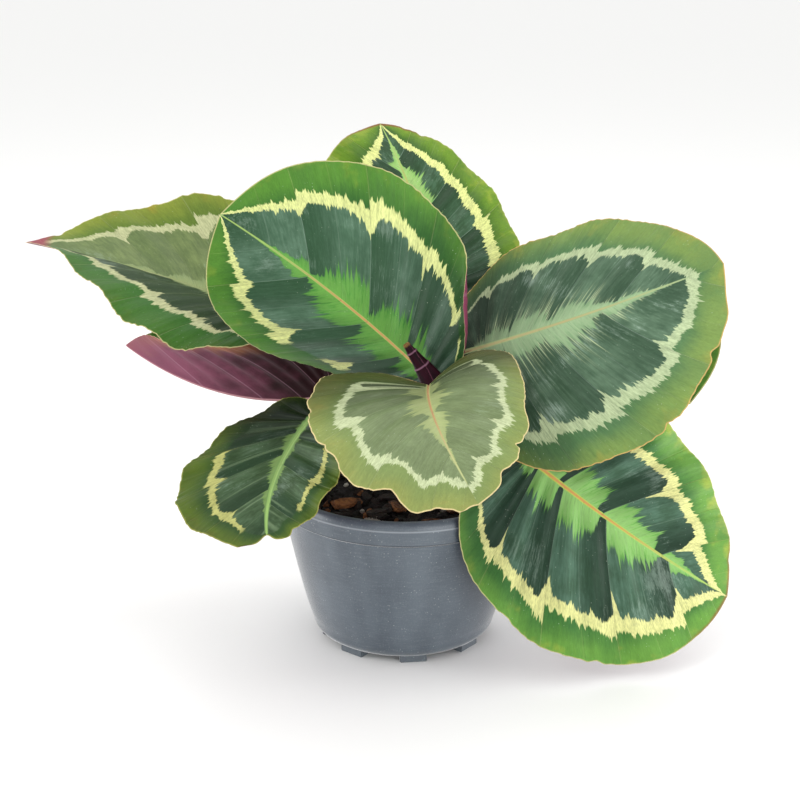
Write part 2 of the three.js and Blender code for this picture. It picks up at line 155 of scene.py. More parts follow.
# Dents in a blade's outline as (half, place on the margin, spread, depth in mm). Half 0 is the left
# one, and a negative depth is a bulge.
DENTS = {
    "front_centre": [
        (1, 0.33, 0.02, -1.5), (1, 0.365, 0.01, 1.2), (1, 0.505, 0.007, 2.2), (1, 0.545, 0.03, 3),
        (1, 0.64, 0.025, -1.2), (1, 0.735, 0.03, 4.5), (1, 0.815, 0.03, -2.5), (1, 0.88, 0.015, 1),
        (1, 0.95, 0.02, -2.5), (0, 0.62, 0.035, -2.5), (0, 0.7, 0.01, 2.5), (0, 0.84, 0.03, 3),
        (0, 0.76, 0.02, -1), (0, 0.2, 0.05, -2),
    ],
    "left_lower": [
        (0, 1, 0.02, 6), (1, 1, 0.02, 6), (1, 0.93, 0.03, -3), (0, 0.93, 0.02, -2),
        (0, 0.9, 0.01, 1.5), (0, 0.74, 0.03, 2), (1, 0.45, 0.02, 1), (1, 0.3, 0.02, 1),
        (1, 0.62, 0.02, -1),
    ],
    "right_upper": [
        (0, 0.07, 0.05, -5), (0, 0, 0.03, -6), (1, 0, 0.03, -6), (0, 0.8, 0.08, 2.5),
        (1, 0.615, 0.01, 2), (1, 0.66, 0.02, -1), (1, 0.79, 0.012, 2.5), (1, 0.88, 0.03, -1.5),
    ],
    "back_top": [
        (1, 0.86, 0.012, 1.5), (1, 0.78, 0.015, 1), (1, 0.92, 0.012, 1), (1, 0.6, 0.02, 1),
    ],
    "far_left": [(1, 0.9, 0.015, 2), (1, 0.62, 0.02, 1.5), (1, 0.78, 0.02, 1)],
    "right_lower": [
        (1, 0.62, 0.012, 1.5), (1, 0.5, 0.03, -1), (1, 0.4, 0.02, 1), (0, 0.9, 0.02, 1),
    ],
}
# How much shorter the midrib is where a leaf's tip is notched, in mm.
NOTCHES = {"left_lower": 6.5}
# Where a blade's margin has rolled over and shows its underside.
CURLED = {
    "left_front": Values(half=1, grows=(0.04, 0.14), fades=(0.24, 0.36), inside=0.88, radius=2.8),
}
# Where the new leaf's outer wraps end, and how much thicker the roll is below, in mm.
COLLARS = ((0.88, 0.35), (0.955, 0.25))
POT_SIDES = 160
STALK_STEPS = 60
STALK_SIDES = 20
ROLL_STEPS = 260
ROLL_SIDES = 48
ROLL_HOLLOW = 3  # depth of the opening at the rolled leaf's end

# ---- colours, as they look in soft daylight, some with light and shade painted in ----

# Lighter patches are painted sheen; dark panels, the shaded half and the darker base are painted
# shade.
LEAF_LOOK = dict(
    inner="#416049", sheen="#5b7863", dark="#214327", shade=0.75, bloom=0.3, vein="#7f9a86",
    feather="#66a044", feather_dark="#2e6d2a", feather_size=0.33, feather_end=0.62, cut=0.6,
    wisps=0.0, band="#d0d68d", band_width=0.024, drift=0.05, spike=0.1, band_gaps=(),
    near="#315e28", far="#50802e", blotch="#93a038", blotches=0.3, margin="#c1b983", burn=0.0,
    tip_glow=0.0, base_light=0.65, light_from=0.42, tip_red=0.0, rib_base="#c08f5b",
    rib_side="#9cb060", rib_tip="#8fb263", rib_wide=1.0, rays=0.0, under="#6d3b53",
    under_dark="#3c1826", under_rim="#9a6a3c", rim_width=3.0, band_at=(0.73, 0.73), closing=0.35,
    base_closing=0.0, vein_phase=(0.525, 0.525), left_heart="#1f3f2a", left_outer="#34662a",
    left_shade=0.0, seed=1.0,
)
LOOKS = {
    "left_front": dict(
        seed=3.1, under="#86425a", under_dark="#7c3a52", under_rim="#96506a", tip_glow=0.22,
        base_light=0.5, light_from=0.6, band_gaps=((0, 0.5, 0.575), (0, 0.3, 0.41), (1, 0.2, 0.24)),
        feather="#6aa448", feather_dark="#357430",
    ),
    # Its yellow-green outer zone is partly painted light shining through the blade.
    "back_top": dict(
        seed=11.7, inner="#294629", sheen="#44644a", dark="#18351a", near="#365c1b", far="#5f8220",
        feather="#9ac070", feather_dark="#6ea04c", feather_size=0.3, feather_end=0.8,
        band="#d0d688", band_width=0.04, drift=0.03, spike=0.03, blotches=0.5, burn=0.8,
        band_at=(0.62, 0.64), closing=0.5, vein_phase=(0.3, 0.075),
    ),
    "right_upper": dict(
        seed=21.3, inner="#405a44", sheen="#5e7860", dark="#243e2a", shade=0.6, bloom=0.6,
        vein="#74897a", feather="#96b086", feather_dark="#6a8a62", feather_size=0.21, cut=0.4,
        wisps=0.7, band="#adbc92", near="#4d7148", far="#718b48", blotch="#a89a40",
        rib_base="#aaa273", rib_side="#93a674", rib_tip="#98aa7c", margin="#c9a263",
        band_at=(0.69, 0.73), closing=0.9, vein_phase=(0.6, 0.81), base_light=0.45, tip_glow=0.16,
    ),
    "right_lower": dict(
        seed=31.9, inner="#37543f", sheen="#4f6f5c", dark="#162e1e", shade=0.9,
        feather="#88b866", feather_dark="#4f8a38", feather_size=0.26, feather_end=0.78, cut=0.9,
        band="#d0d08b", band_width=0.03, spike=0.12, drift=0.085, near="#386830", far="#5f8e3a",
        blotches=0.4, blotch="#b0b040", burn=0.6, rib_base="#bd8f4f", rib_side="#a8b850",
        band_at=(0.66, 0.74), closing=0.75, vein_phase=(0.35, 0.25), base_light=0.7, tip_glow=0.14,
    ),
    # A near-level leaf: its grey-olive tones are partly painted sheen, its base painted shade.
    "front_centre": dict(
        seed=41.3, inner="#6d7c56", sheen="#7c8c64", dark="#5c6a44", shade=0.3, bloom=0.15,
        vein="#8f9b76", feather="#a4ae78", feather_dark="#8a9862", feather_size=0.22,
        band="#b8c298", band_width=0.02, near="#768850", far="#848e4e", blotch="#9a8c4c",
        margin="#dcc793", rib_base="#b38f67", rib_side="#a0a86f", rib_tip="#b3b983",
        band_at=(0.80, 0.73), closing=0.95, base_closing=0.8, vein_phase=(0.4, 0.26),
        base_light=0.3, band_gaps=((0, 0.0, 0.2), (1, 0.0, 0.15)),
    ),
    # This leaf lies in the shade of the others: its dark colours and low base_light are painted
    # shade.
    "left_lower": dict(
        seed=51.1, inner="#304628", sheen="#4c6446", dark="#14301a", vein="#6c8260",
        feather="#7c9858", feather_dark="#5a783e", feather_size=0.14, feather_end=0.8,
        band="#b4b46c", band_width=0.02, near="#2a461e", far="#4e621c", blotch="#5c4c1c",
        margin="#8f9048", rib_base="#84a05e", rib_side="#6c8c50", rib_wide=2.2, rays=0.7,
        band_at=(0.75, 0.69), closing=0.5, vein_phase=(0.25, 0.6), base_light=0.15,
        band_gaps=((1, 0.0, 0.44), (1, 0.9, 1.0), (0, 0.83, 1.0), (0, 0.0, 0.5)),
    ),
    # Its olive-grey upper half is partly painted sheen, and left_shade paints shade on its lower
    # half.
    "far_left": dict(
        seed=61.7, inner="#66784a", sheen="#7a8a56", dark="#4a6238", shade=0.25, vein="#7c8a60",
        feather="#93a26c", feather_dark="#76895b", feather_size=0.18, band="#b8bc8e",
        near="#5c742c", far="#7c8a34", blotch="#a08c34", blotches=0.6, rib_base="#9aa273",
        rib_side="#8f9c66", rib_tip="#aaaa83", band_at=(0.68, 0.74), closing=0.2, tip_red=1.0,
        vein_phase=(0.7, 0.7), left_heart="#12301a", left_outer="#296024", left_shade=0.85,
        burn=0.9,
    ),
    "folded_left": dict(
        seed=71.9, under="#764054", under_dark="#22080c", under_rim="#a0663a", rim_width=17.0,
    ),
    "right_back": dict(seed=81.3, closing=0.5),
}


# ---- shader arithmetic ----

def linear(colour):
    """A web colour as the linear RGBA that shaders take."""
    parts = [int(colour[i:i + 2], 16) / 255 for i in (1, 3, 5)]
    return [p / 12.92 if p <= 0.04045 else ((p + 0.055) / 1.055) ** 2.4 for p in parts] + [1.0]


def put(tree, entry, term):
    """Sets a node's input to a Field, a web colour or a number."""
    if isinstance(term, Field):
        tree.links.new(term.socket, entry)
    elif isinstance(term, str):
        entry.default_value = linear(term)[:len(entry.default_value)]
    else:
        entry.default_value = term


def new_node(tree, kind, inputs, output=0, **settings):
    """One output of a new shader node, as a Field."""
    node = tree.nodes.new("ShaderNode" + kind)
    for name, value in settings.items():
        setattr(node, name, value)
    for key, term in inputs.items():
        put(tree, node.inputs[key], term)
    return Field(tree, node.outputs[output])


def arithmetic(operation, swapped=False):
    """The Field method that makes a Math node."""
    def method(self, *others):
        terms = (*others, self) if swapped else (self, *others)
        return new_node(self.tree, "Math", dict(enumerate(terms)), operation=operation)
    return method


class Field:
    """A number that varies over a surface, combined with others by ordinary arithmetic."""

    def __init__(self, tree, socket):
        self.tree = tree
        self.socket = socket

    __add__ = __radd__ = arithmetic("ADD")
    __mul__ = __rmul__ = arithmetic("MULTIPLY")
    __sub__ = arithmetic("SUBTRACT")
    __rsub__ = arithmetic("SUBTRACT", swapped=True)
    __truediv__ = arithmetic("DIVIDE")
    __pow__ = arithmetic("POWER")
    __abs__ = arithmetic("ABSOLUTE")
    above = arithmetic("GREATER_THAN")
    floor = arithmetic("FLOOR")
    fraction = arithmetic("FRACT")

    def rising(self, low, high):
        """0 up to low, 1 from high, and smooth in between."""
        ends = {"Value": self, "From Min": low, "From Max": high}
        return new_node(self.tree, "MapRange", ends, interpolation_type="SMOOTHSTEP")

    def falling(self, low, high):
        """1 up to low, 0 from high, and smooth in between."""
        return 1 - self.rising(low, high)


class Paint:
    """A material that is laid on in coats, with short names for the nodes used here."""

    def __init__(self, name):
        self.material = bpy.data.materials.new(name)
        self.material.use_nodes = True
        self.tree = self.material.node_tree
        self.shader = self.tree.nodes["Principled BSDF"]
        self.colour = None

    def node(self, kind, inputs, output=0, **settings):
        return new_node(self.tree, kind, inputs, output, **settings)

    def parts(self, vector):
        """The three numbers of a vector Field."""
        axes = self.node("SeparateXYZ", {0: vector}).socket.node.outputs
        return [Field(self.tree, axis) for axis in axes]

    def place(self, attribute):
        """The three numbers of a point attribute."""
        return self.parts(self.node("Attribute", {}, "Vector", attribute_name=attribute))

    def amount(self, attribute):
        """The number of a point attribute."""
        return self.node("Attribute", {}, "Fac", attribute_name=attribute)

    def position(self):
        """The point's x, y and z in metres."""
        return self.parts(self.node("TexCoord", {}, "Object"))

    def vector(self, *terms):
        return self.node("CombineXYZ", dict(enumerate(terms)))

    def space(self):
        """The point's position in metres, as one vector."""
        return self.vector(*self.position())

    def noise(self, where, scale, detail=2.0, roughness=0.5):
        """Noise about 0, mostly within 1, along a line or, for a vector, in space."""
        entry, space = ("Vector", "3D") if where.socket.type == "VECTOR" else ("W", "1D")
        inputs = {entry: where, "Scale": scale, "Detail": detail, "Roughness": roughness}
        return (self.node("TexNoise", inputs, "Fac", noise_dimensions=space) - 0.5) * 4

    def random(self, where):
        """A number from 0 to 1 for each value of where."""
        return self.node("TexWhiteNoise", {"W": where}, "Value", noise_dimensions="1D")

    def teeth(self, line, count, salt):
        """Pointed teeth of random length up to 1, count of them to each unit along a line."""
        place = line * count
        tall = self.random(place.floor() + salt)
        return (1 - abs(place.fraction() - 0.5) * 2) * tall * tall

    def strokes(self, line, *sizes):
        """Pointed teeth of several sizes, each (count to a unit, length), added up."""
        total = 0
        for n, (count, length) in enumerate(sizes):
            total = self.teeth(line, count, 5 + 2 * n) * length + total
        return total

    def specks(self, where, scale, core, edge):
        """1 within the core of scattered points, 0 beyond their edge."""
        inputs = {"Vector": where, "Scale": scale}
        return self.node("TexVoronoi", inputs, "Distance").falling(core, edge)

    def mix(self, share, first, second):
        """From first to second, each a web colour or a colour Field."""
        return self.node("Mix", {"Factor": share, 6: first, 7: second}, 2, data_type="RGBA")

    def scaled(self, colour, factor):
        """The colour made lighter or darker."""
        return self.node("VectorMath", {0: colour, "Scale": factor}, operation="SCALE")

    def tones(self, share, dark, light):
        """Starts with a colour between two, by a share that is held within 0 and 1."""
        self.colour = self.mix(share.rising(0, 1), dark, light)

    def coat(self, share, colour):
        """Lays a colour over what is there."""
        self.colour = self.mix(share, self.colour, colour)

    def relief(self, height, depth):
        """Bump of a height field that runs from 0 to 1, with its depth in millimetres."""
        inputs = {"Strength": 1, "Distance": depth * MM, "Height": height}
        put(self.tree, self.shader.inputs["Normal"], self.node("Bump", inputs, "Normal"))

    def finish(self, roughness, **uniform):
        """The material, with its roughness and any other plain inputs of the shader."""
        put(self.tree, self.shader.inputs["Base Color"], self.colour)
        put(self.tree, self.shader.inputs["Roughness"], roughness)
        for name, value in uniform.items():
            self.shader.inputs[name.replace("_", " ")].default_value = value
        return self.material


# ---- leaf materials ----

class LeafPlace:
    """Where a point lies on its leaf, from the attributes that blade_mesh writes."""

    def __init__(self, paint, look):
        self.t, u, self.panel = paint.place("vein_place")
        self.across, self.along, self.zone = paint.place("leaf_place")
        self.from_margin = paint.amount("from_margin")
        self.v = abs(u)
        self.left = u.above(0)
        self.line = self.t + self.left * 7.3 + look.seed
        self.inside = self.panel.fraction()  # 0 at one main vein, 1 at the next towards the tip
        self.chance = paint.random(self.panel.floor() + self.left * 31 + look.seed)
        self.vein = abs(self.inside - 0.5).rising(0.488, 0.5)
        self.side_vein = abs(self.inside - 0.5).falling(0.0, 0.014)
        self.streak = paint.noise(paint.vector(self.line * 150, self.v * 6, look.seed), 1, 2)
        self.mottle = paint.noise(paint.vector(self.across * 0.09, self.along * 9, self.line), 1, 3)
        fibre = paint.vector(self.line * 420, self.v * 30, look.seed)
        self.grain = paint.noise(fibre, 1, 2, 0.65)
        self.cloud = paint.noise(paint.vector(self.across * 0.04, self.along * 5, self.line), 1, 2)
        # light: painted shade towards the base from the leaves above, partly its own darker tone
        # too
        light = (self.along + self.cloud * 0.04).rising(0.0, look.light_from)
        self.light = light * (1 - look.base_light) + look.base_light


def band_edges(paint, at, look):
    """Inner edge, middle and outer edge of the cream band, as zones. The band drifts outwards over
    each panel, runs inwards along its main veins and ends in fine strokes on both sides."""
    spike = at.inside.rising(0.7, 1.0) ** 3 + 1 - at.inside.rising(0.0, 0.1)
    wander = (at.chance - 0.5) * 0.03 + paint.noise(at.line, 14, 1) * 0.008
    middle = (at.inside - 0.5) * look.drift + wander
    thin = at.t.rising(0.05, 0.42) * 0.6 + 0.4
    half = thin * (0.7 + at.chance * 0.6 + paint.noise(at.line + 5, 12, 1) * 0.2) * look.band_width
    inward = thin * paint.strokes(at.line, (53, 0.04), (131, 0.035), (290, 0.03))
    outward = thin * paint.strokes(at.line + 11, (59, 0.045), (137, 0.035), (310, 0.03))
    low = middle - half - inward - spike * look.spike * (at.chance + 0.5)
    return low, middle, middle + half + outward


def band_shown(at, look):
    """1 where the band is there: it fades at the base and is broken on some leaves."""
    shown = (at.t + at.mottle * 0.03).rising(0.08, 0.17)
    for half, start, stop in look.band_gaps:
        rough = at.t + at.grain * 0.006
        gap = rough.rising(start - 0.02, start) * rough.falling(stop, stop + 0.02)
        shown = shown * (1 - gap * (at.left if half == 0 else 1 - at.left))
    return shown


def feather_reach(paint, at, look):
    """How far out the bright flames along the midrib go, as a share of the vein. They are cut short
    before each main vein."""
    swell = at.t.rising(-0.15, 0.55) * at.t.falling(look.feather_end, 1.0) + 0.04
    cut = 1 - at.inside.rising(0.72, 0.9) * look.cut
    flame = paint.strokes(at.line + 17, (33, 0.5), (79, 0.4), (180, 0.3))
    return swell * cut * (flame + 0.72 - at.inside * 0.25) * look.feather_size


def heart_colour(paint, at, look):
    """The dark zone inside the band: satin panels with painted sheen and painted shade."""
    # Lighter patches: painted sheen.
    paint.tones(at.mottle * 0.5 + at.streak * 0.25 + 0.4, look.inner, look.sheen)
    # Painted shade of the pleats, darkest on the near side of each main vein.
    shade = at.inside.rising(0.3, 0.9) * look.shade + at.mottle * 0.2
    paint.coat(shade, look.dark)
    # Painted shade over the left half, where left_shade is set.
    paint.coat(at.left * look.left_shade, look.left_heart)
    ray = paint.strokes(at.line + 29, (19, 1.0), (47, 0.7)).rising(0.3, 0.9) * look.rays
    paint.coat(ray * at.v.falling(0.3, 0.9), look.vein)
    # Grey-green patches of painted sheen.
    bloom = (at.cloud + at.streak * 0.4 + at.grain * 0.3).rising(0.3, 1.3) * look.bloom
    paint.coat(bloom, "#93a698")
    paint.coat(at.vein * 0.45 + at.side_vein * 0.2, look.vein)
    # Painted shade towards the base.
    return paint.scaled(paint.colour, at.light)


def outer_colour(paint, at, look):
    """The lighter green outside the band, yellower towards the margin and the tip."""
    glow = (at.along - 0.5) * look.tip_glow
    fade = at.zone + glow + at.cloud * 0.05 + at.mottle * 0.02 + at.streak * 0.015
    paint.colour = paint.mix(fade.rising(0.02, 0.25), look.near, look.far)
    blotch = paint.noise(paint.vector(at.across * 0.1, at.along * 16, at.line), 1, 2)
    spread = (blotch * 0.6 + at.zone * 4).rising(0.9, 1.6) * look.blotches
    paint.coat(spread, look.blotch)
    # Painted shade of the pleats towards each main vein, and darker cloudy patches.
    fold = (at.cloud + at.streak * 0.5).rising(0.2, 1.6) * 0.5
    paint.coat(at.inside.rising(0.5, 0.97) * 0.3 + fold, look.near)
    # Painted shade over the left half, where left_shade is set.
    paint.coat(at.left * look.left_shade, look.left_outer)
    paint.coat(at.vein * 0.12 + at.side_vein * 0.05, look.band)
    # Painted shade towards the base.
    return paint.scaled(paint.colour, at.light)


def leaf_top(name, look):
    """Dark heart, bright feather along the midrib, jagged cream band and lighter outer zone."""
    paint = Paint("leaf_top_" + name)
    at = LeafPlace(paint, look)

    low, middle, high = band_edges(paint, at, look)
    outside = at.zone.rising(middle - 0.02, middle + 0.02)
    paint.colour = paint.mix(outside, heart_colour(paint, at, look), outer_colour(paint, at, look))

    reach = feather_reach(paint, at, look)
    wisps = paint.teeth(at.line, 170, 23) * at.v.falling(reach, reach * 2.1) * look.wisps
    paint.coat((wisps * 1.6) * (1 - outside), look.band)
    feather = at.v.falling(reach * 0.84, reach * 1.06) * (at.streak * 0.2 + 0.92)
    share = at.streak * 0.45 + at.grain * 0.25 + at.v / reach * 0.6 - 0.05
    tuft = paint.mix(share.rising(0, 1), look.feather, look.feather_dark)
    # The flames take part of the painted shade towards the base.
    tuft = paint.scaled(tuft, at.light * 0.6 + 0.4)
    paint.coat(feather * (1 - outside), tuft)

    band = at.zone.rising(low - 0.006, low + 0.008) * at.zone.falling(high - 0.008, high + 0.006)
    band = band * band_shown(at, look)
    # The band takes part of the painted shade towards the base.
    cream = paint.scaled(look.band, at.light * 0.4 + 0.6)
    paint.coat(band * (at.grain * 0.2 + at.streak * 0.15 + 0.9), cream)

    dust = paint.specks(paint.vector(at.across, at.along * 140, at.line), 0.45, 0.04, 0.14)
    paint.coat(dust * (at.mottle * 0.6 + 0.3).rising(0, 1) * 0.5, "#c8d4c0")
    rim = at.from_margin.falling(0.3, 0.75)
    paint.coat(rim * 0.8, look.margin)
    burn = (at.from_margin + at.mottle * 0.7).falling(0.5, 2.4) * at.along.rising(0.88, 0.97)
    paint.coat(burn * look.burn, "#7c3c28")
    paint.coat(at.along.rising(0.91, 0.95) * look.tip_red, "#9a5058")
    uneven = at.grain * 0.12 + at.streak * 0.07 + at.mottle * 0.06 + 1
    paint.colour = paint.scaled(paint.colour, uneven)

    width = (1.5 - at.along * 1.2) * look.rib_wide
    rib = paint.mix(at.along.rising(0.35, 0.85), look.rib_base, look.rib_tip)
    rib = paint.mix(at.across.rising(width * 0.4, width * 0.7), rib, look.rib_side)
    shown = at.across.falling(width * 0.85, width * 1.1)
    fading = 1 - at.zone.rising(-0.1, -0.02) * at.along.rising(0.6, 0.7)
    paint.coat(shown * fading, rib)

    furrow = (1 - at.vein) * 0.5 + (1 - at.side_vein) * 0.25
    paint.relief(furrow + at.mottle * 0.12 + at.streak * 0.06 + at.grain * 0.04, 0.4)
    roughness = 0.44 + at.mottle * 0.03 + band * 0.05 + at.grain * 0.02
    return paint.finish(roughness, Specular_IOR_Level=0.14)


def leaf_under(name, look):
    """Purple underside, darker at the base, with a pale keel and pale side veins."""
    paint = Paint("leaf_under_" + name)
    at = LeafPlace(paint, look)
    tone = at.along + at.mottle * 0.12 + at.streak * 0.03
    paint.colour = paint.mix(tone.rising(0.1, 0.75), look.under_dark, look.under)
    vein = abs(at.inside - 0.5).rising(0.47, 0.5)
    paint.coat((at.cloud + at.streak * 0.3).rising(0.0, 1.2) * 0.5, look.under_dark)
    paint.coat(vein * 0.25, "#b48a9c")
    paint.colour = paint.scaled(paint.colour, at.grain * 0.12 + at.mottle * 0.12 + 1)
    rim = (at.from_margin + at.mottle * look.rim_width * 0.3).falling(0.3, look.rim_width)
    middle = at.along.rising(0.1, 0.4) * (1 - at.along.rising(0.7, 0.95) * 0.8)
    paint.coat(rim * (at.left * 0.35 + 0.4) * middle, look.under_rim)
    paint.coat(at.across.falling(0.6, 1.4) * 0.7, "#b98a8e")
    paint.relief(vein * 0.4 + at.streak * 0.04 + at.mottle * 0.1 + 0.2, 0.3)
    return paint.finish(0.5 + at.mottle * 0.03, Specular_IOR_Level=0.1)


def leaf_edge(name, look):
    """The cut edge of a blade, a thin pale line."""
    paint = Paint("leaf_edge_" + name)
    at = LeafPlace(paint, look)
    fleck = (paint.noise(at.line, 40, 2) * 0.5 + 0.4).rising(0, 1)
    paint.colour = paint.mix(fleck * 0.5, look.margin, "#a8705a")
    return paint.finish(0.5 + fleck * 0.05)


# ---- numbers, meshes and objects ----

def lerp(first, second, share):
    return first + (second - first) * share


def smooth(value, low, high):
    """0 up to low, 1 from high, and smooth in between."""
    share = np.clip((value - low) / (high - low), 0, 1)
    return share * share * (3 - 2 * share)


def bell(value, middle, spread):
    """1 at the middle, falling off smoothly on both sides."""
    return np.exp(-(((value - middle) / spread) ** 2))


def new_object(name, data):
    made = bpy.data.objects.new(name, data)
    bpy.context.scene.collection.objects.link(made)
    return made


def new_mesh(name, points, faces, **fields):
    """A smooth mesh of points in mm, with its point attributes."""
    mesh = bpy.data.meshes.new(name)
    mesh.from_pydata(points * MM, [], faces)
    mesh.polygons.foreach_set("use_smooth", [True] * len(faces))
    for attribute, values in fields.items():
        kind, entry = ("FLOAT_VECTOR", "vector") if values.ndim == 2 else ("FLOAT", "value")
        data = mesh.attributes.new(attribute, kind, "POINT").data
        data.foreach_set(entry, values.ravel())
    mesh.update()
    return mesh


def mesh_of(name, build):
    """A mesh with its faces turned outwards, made by a function that fills a bmesh."""
    bm = bmesh.new()
    build(bm)
    bmesh.ops.recalc_face_normals(bm, faces=bm.faces)
    mesh = bpy.data.meshes.new(name)
    bm.to_mesh(mesh)
    bm.free()
    return mesh


def add_piece(name, mesh, materials, node):
    """An object that takes a CAD node's place."""
    for material in materials:
        mesh.materials.append(material)
    piece = new_object(name, mesh)
    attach(piece, "root")
    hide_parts(node)


# ---- leaf shape: the formulas of part.mjs over whole grids ----

def rib_frame(leaf, s):
    """The midrib's direction, the direction across the left half and the upper side's normal."""
    rise = np.radians(leaf.rise - leaf.droop * s)
    heading = np.radians(leaf.heading + leaf.swing * s)
    roll = np.radians(leaf.roll + leaf.twist * s)[..., None]
    flat = np.cos(rise)
    along = np.stack([flat * np.cos(heading), flat * np.sin(heading), np.sin(rise)], -1)
    level = np.stack([-np.sin(heading), np.cos(heading), np.zeros_like(heading)], -1)
    across = level * np.cos(roll) + np.cross(along, level) * np.sin(roll)
    return along, across, np.cross(along, across)


def rib_point(leaf, s):
    """The point of the midrib at fraction s of its length, straight on behind the base."""
    reach = leaf.length + leaf.tip
    steps = (np.arange(RIB_PARTS) + 0.5) / RIB_PARTS
    along = rib_frame(leaf, steps)[0] * reach / RIB_PARTS
    knots = np.vstack([np.zeros(3), np.cumsum(along, 0)]) + np.array(leaf.base, float)
    places = np.arange(RIB_PARTS + 1) / RIB_PARTS
    inside = np.clip(s, 0, 1)
    point = np.stack([np.interp(inside, places, knots[:, axis]) for axis in range(3)], -1)
    back = rib_frame(leaf, np.zeros(1))[0][0]
    return point + np.minimum(s, 0)[..., None] * reach * back


def margin(leaf, t, side):
    """The flat outline: distance along the midrib and out from it."""
    lobe = leaf.lobe * (t / LOBE_AT) * np.exp(1 - t / LOBE_AT)
    along = leaf.length * (1 - np.cos(np.pi * t)) / 2 - lobe + leaf.tip * t ** TIP_POWER
    half = leaf.width / 2 * (1 + leaf.skew * side)
    return along, half * np.abs(np.sin(np.pi * t ** leaf.widest)) ** FULLNESS


def ripple(t, seed, counts):
    """A sum of sines with seeded phases, within about 1."""
    random = np.random.default_rng(seed)
    phases = random.uniform(0, 2 * np.pi, len(counts))
    return sum(np.sin(2 * np.pi * n * t + p) for n, p in zip(counts, phases)) / len(counts)


def ragged_margin(name, leaf, t, side, seed):
    """The outline with a fine unevenness, and its dents pushed in square to it."""
    half = np.where(side > 0, 0, 1)
    before = np.array(margin(leaf, np.maximum(t - 1e-4, 0), side))
    after = np.array(margin(leaf, np.minimum(t + 1e-4, 1), side))
    forward, outward = after - before
    length = np.maximum(np.hypot(forward, outward), 1e-9)
    along, out = margin(leaf, t, side)
    out = out * (1 + 0.006 * ripple(t + 0.31 * half, seed, (13, 23, 41)) * np.sin(np.pi * t))
    for dent_half, place, spread, depth in DENTS.get(name, ()):
        push = depth * (half == dent_half) * bell(t, place, spread)
        along = along + push * outward / length
        out = out - push * forward / length
    return along, np.maximum(out, 0)


def panel_number(look, t, half):
    """Counts the panels between main side veins from base to tip."""
    return t * VEINS / 4 + np.array(look.vein_phase)[half]


def blade_surface(name, leaf, look, t, u, seed):
    """Points of the blade's middle surface, with their distance out and along."""
    side = np.where(u > 0, 1.0, -1.0)
    half = np.where(u > 0, 0, 1)
    v = np.abs(u)
    reach = leaf.length + leaf.tip
    edge_along, edge_out = ragged_margin(name, leaf, t, side, seed)
    start = reach * lerp(t ** VEIN_POWER, t, VEIN_EVEN) - NOTCHES.get(name, 0) * smooth(t, 0.93, 1)
    l = start + (edge_along - start) * v ** VEIN_BEND
    x = edge_out * v
    s = l / reach
    held = np.clip(s, 0, 1)
    along, across, normal = rib_frame(leaf, held)
    fold = np.radians(np.array(leaf.fold, float))[half] * (1 - leaf.ease * held)
    curl = np.array([c or FLAT for c in leaf.curl], float)
    bend = np.radians(curl)[half] / (leaf.width / 2)
    near = x
    rolled = CURLED.get(name)
    if rolled:
        window = smooth(t, *rolled.grows) * (1 - smooth(t, *rolled.fades))
        near = np.minimum(x, edge_out * rolled.inside)
        turn = bend + np.where(half == rolled.half, window / rolled.radius, 0)
    else:
        turn = bend
    angle = fold + bend * near
    wave = leaf.wave * v ** 3 * np.sin(2 * np.pi * (leaf.waves * t + WAVE_SHIFT * half))
    pleat = -leaf.pleat * 4 * v * (1 - v) * np.cos(4 * np.pi * panel_number(look, t, half))
    crinkle = CRINKLE * v ** 6 * ripple(t + 0.17 * half, seed + 1, (23, 37, 53)) * 2
    lift = (np.cos(fold) - np.cos(angle)) / bend
    lift += (np.cos(angle) - np.cos(angle + turn * (x - near))) / turn
    lift += (wave + pleat + crinkle) * np.sin(np.pi * t)
    sideways = (np.sin(angle) - np.sin(fold)) / bend
    sideways += (np.sin(angle + turn * (x - near)) - np.sin(angle)) / turn
    points = rib_point(leaf, s) + across * (side * sideways)[..., None] + normal * lift[..., None]
    return points, l, x


def margin_distance(name, leaf, l, x, u, seed):
    """Distance from each point of the flat blade to the nearest point of its outline."""
    t = np.linspace(0, 1, 500)
    nearest = np.full(len(l), np.inf)
    for side in (1.0, -1.0):
        along, out = ragged_margin(name, leaf, t, np.full_like(t, side), seed)
        mine = np.sign(u) != -side
        gaps = np.hypot(l[mine][:, None] - along, x[mine][:, None] - out)
        nearest[mine] = np.minimum(nearest[mine], gaps.min(1))
    return nearest


def smooth_normals(points, faces):
    corners = points[faces]
    normals = np.cross(corners[:, 1] - corners[:, 0], corners[:, 2] - corners[:, 0])
    sums = np.zeros_like(points)
    for corner in range(faces.shape[1]):
        np.add.at(sums, faces[:, corner], normals)
    return sums / np.maximum(np.linalg.norm(sums, axis=1), 1e-12)[:, None]


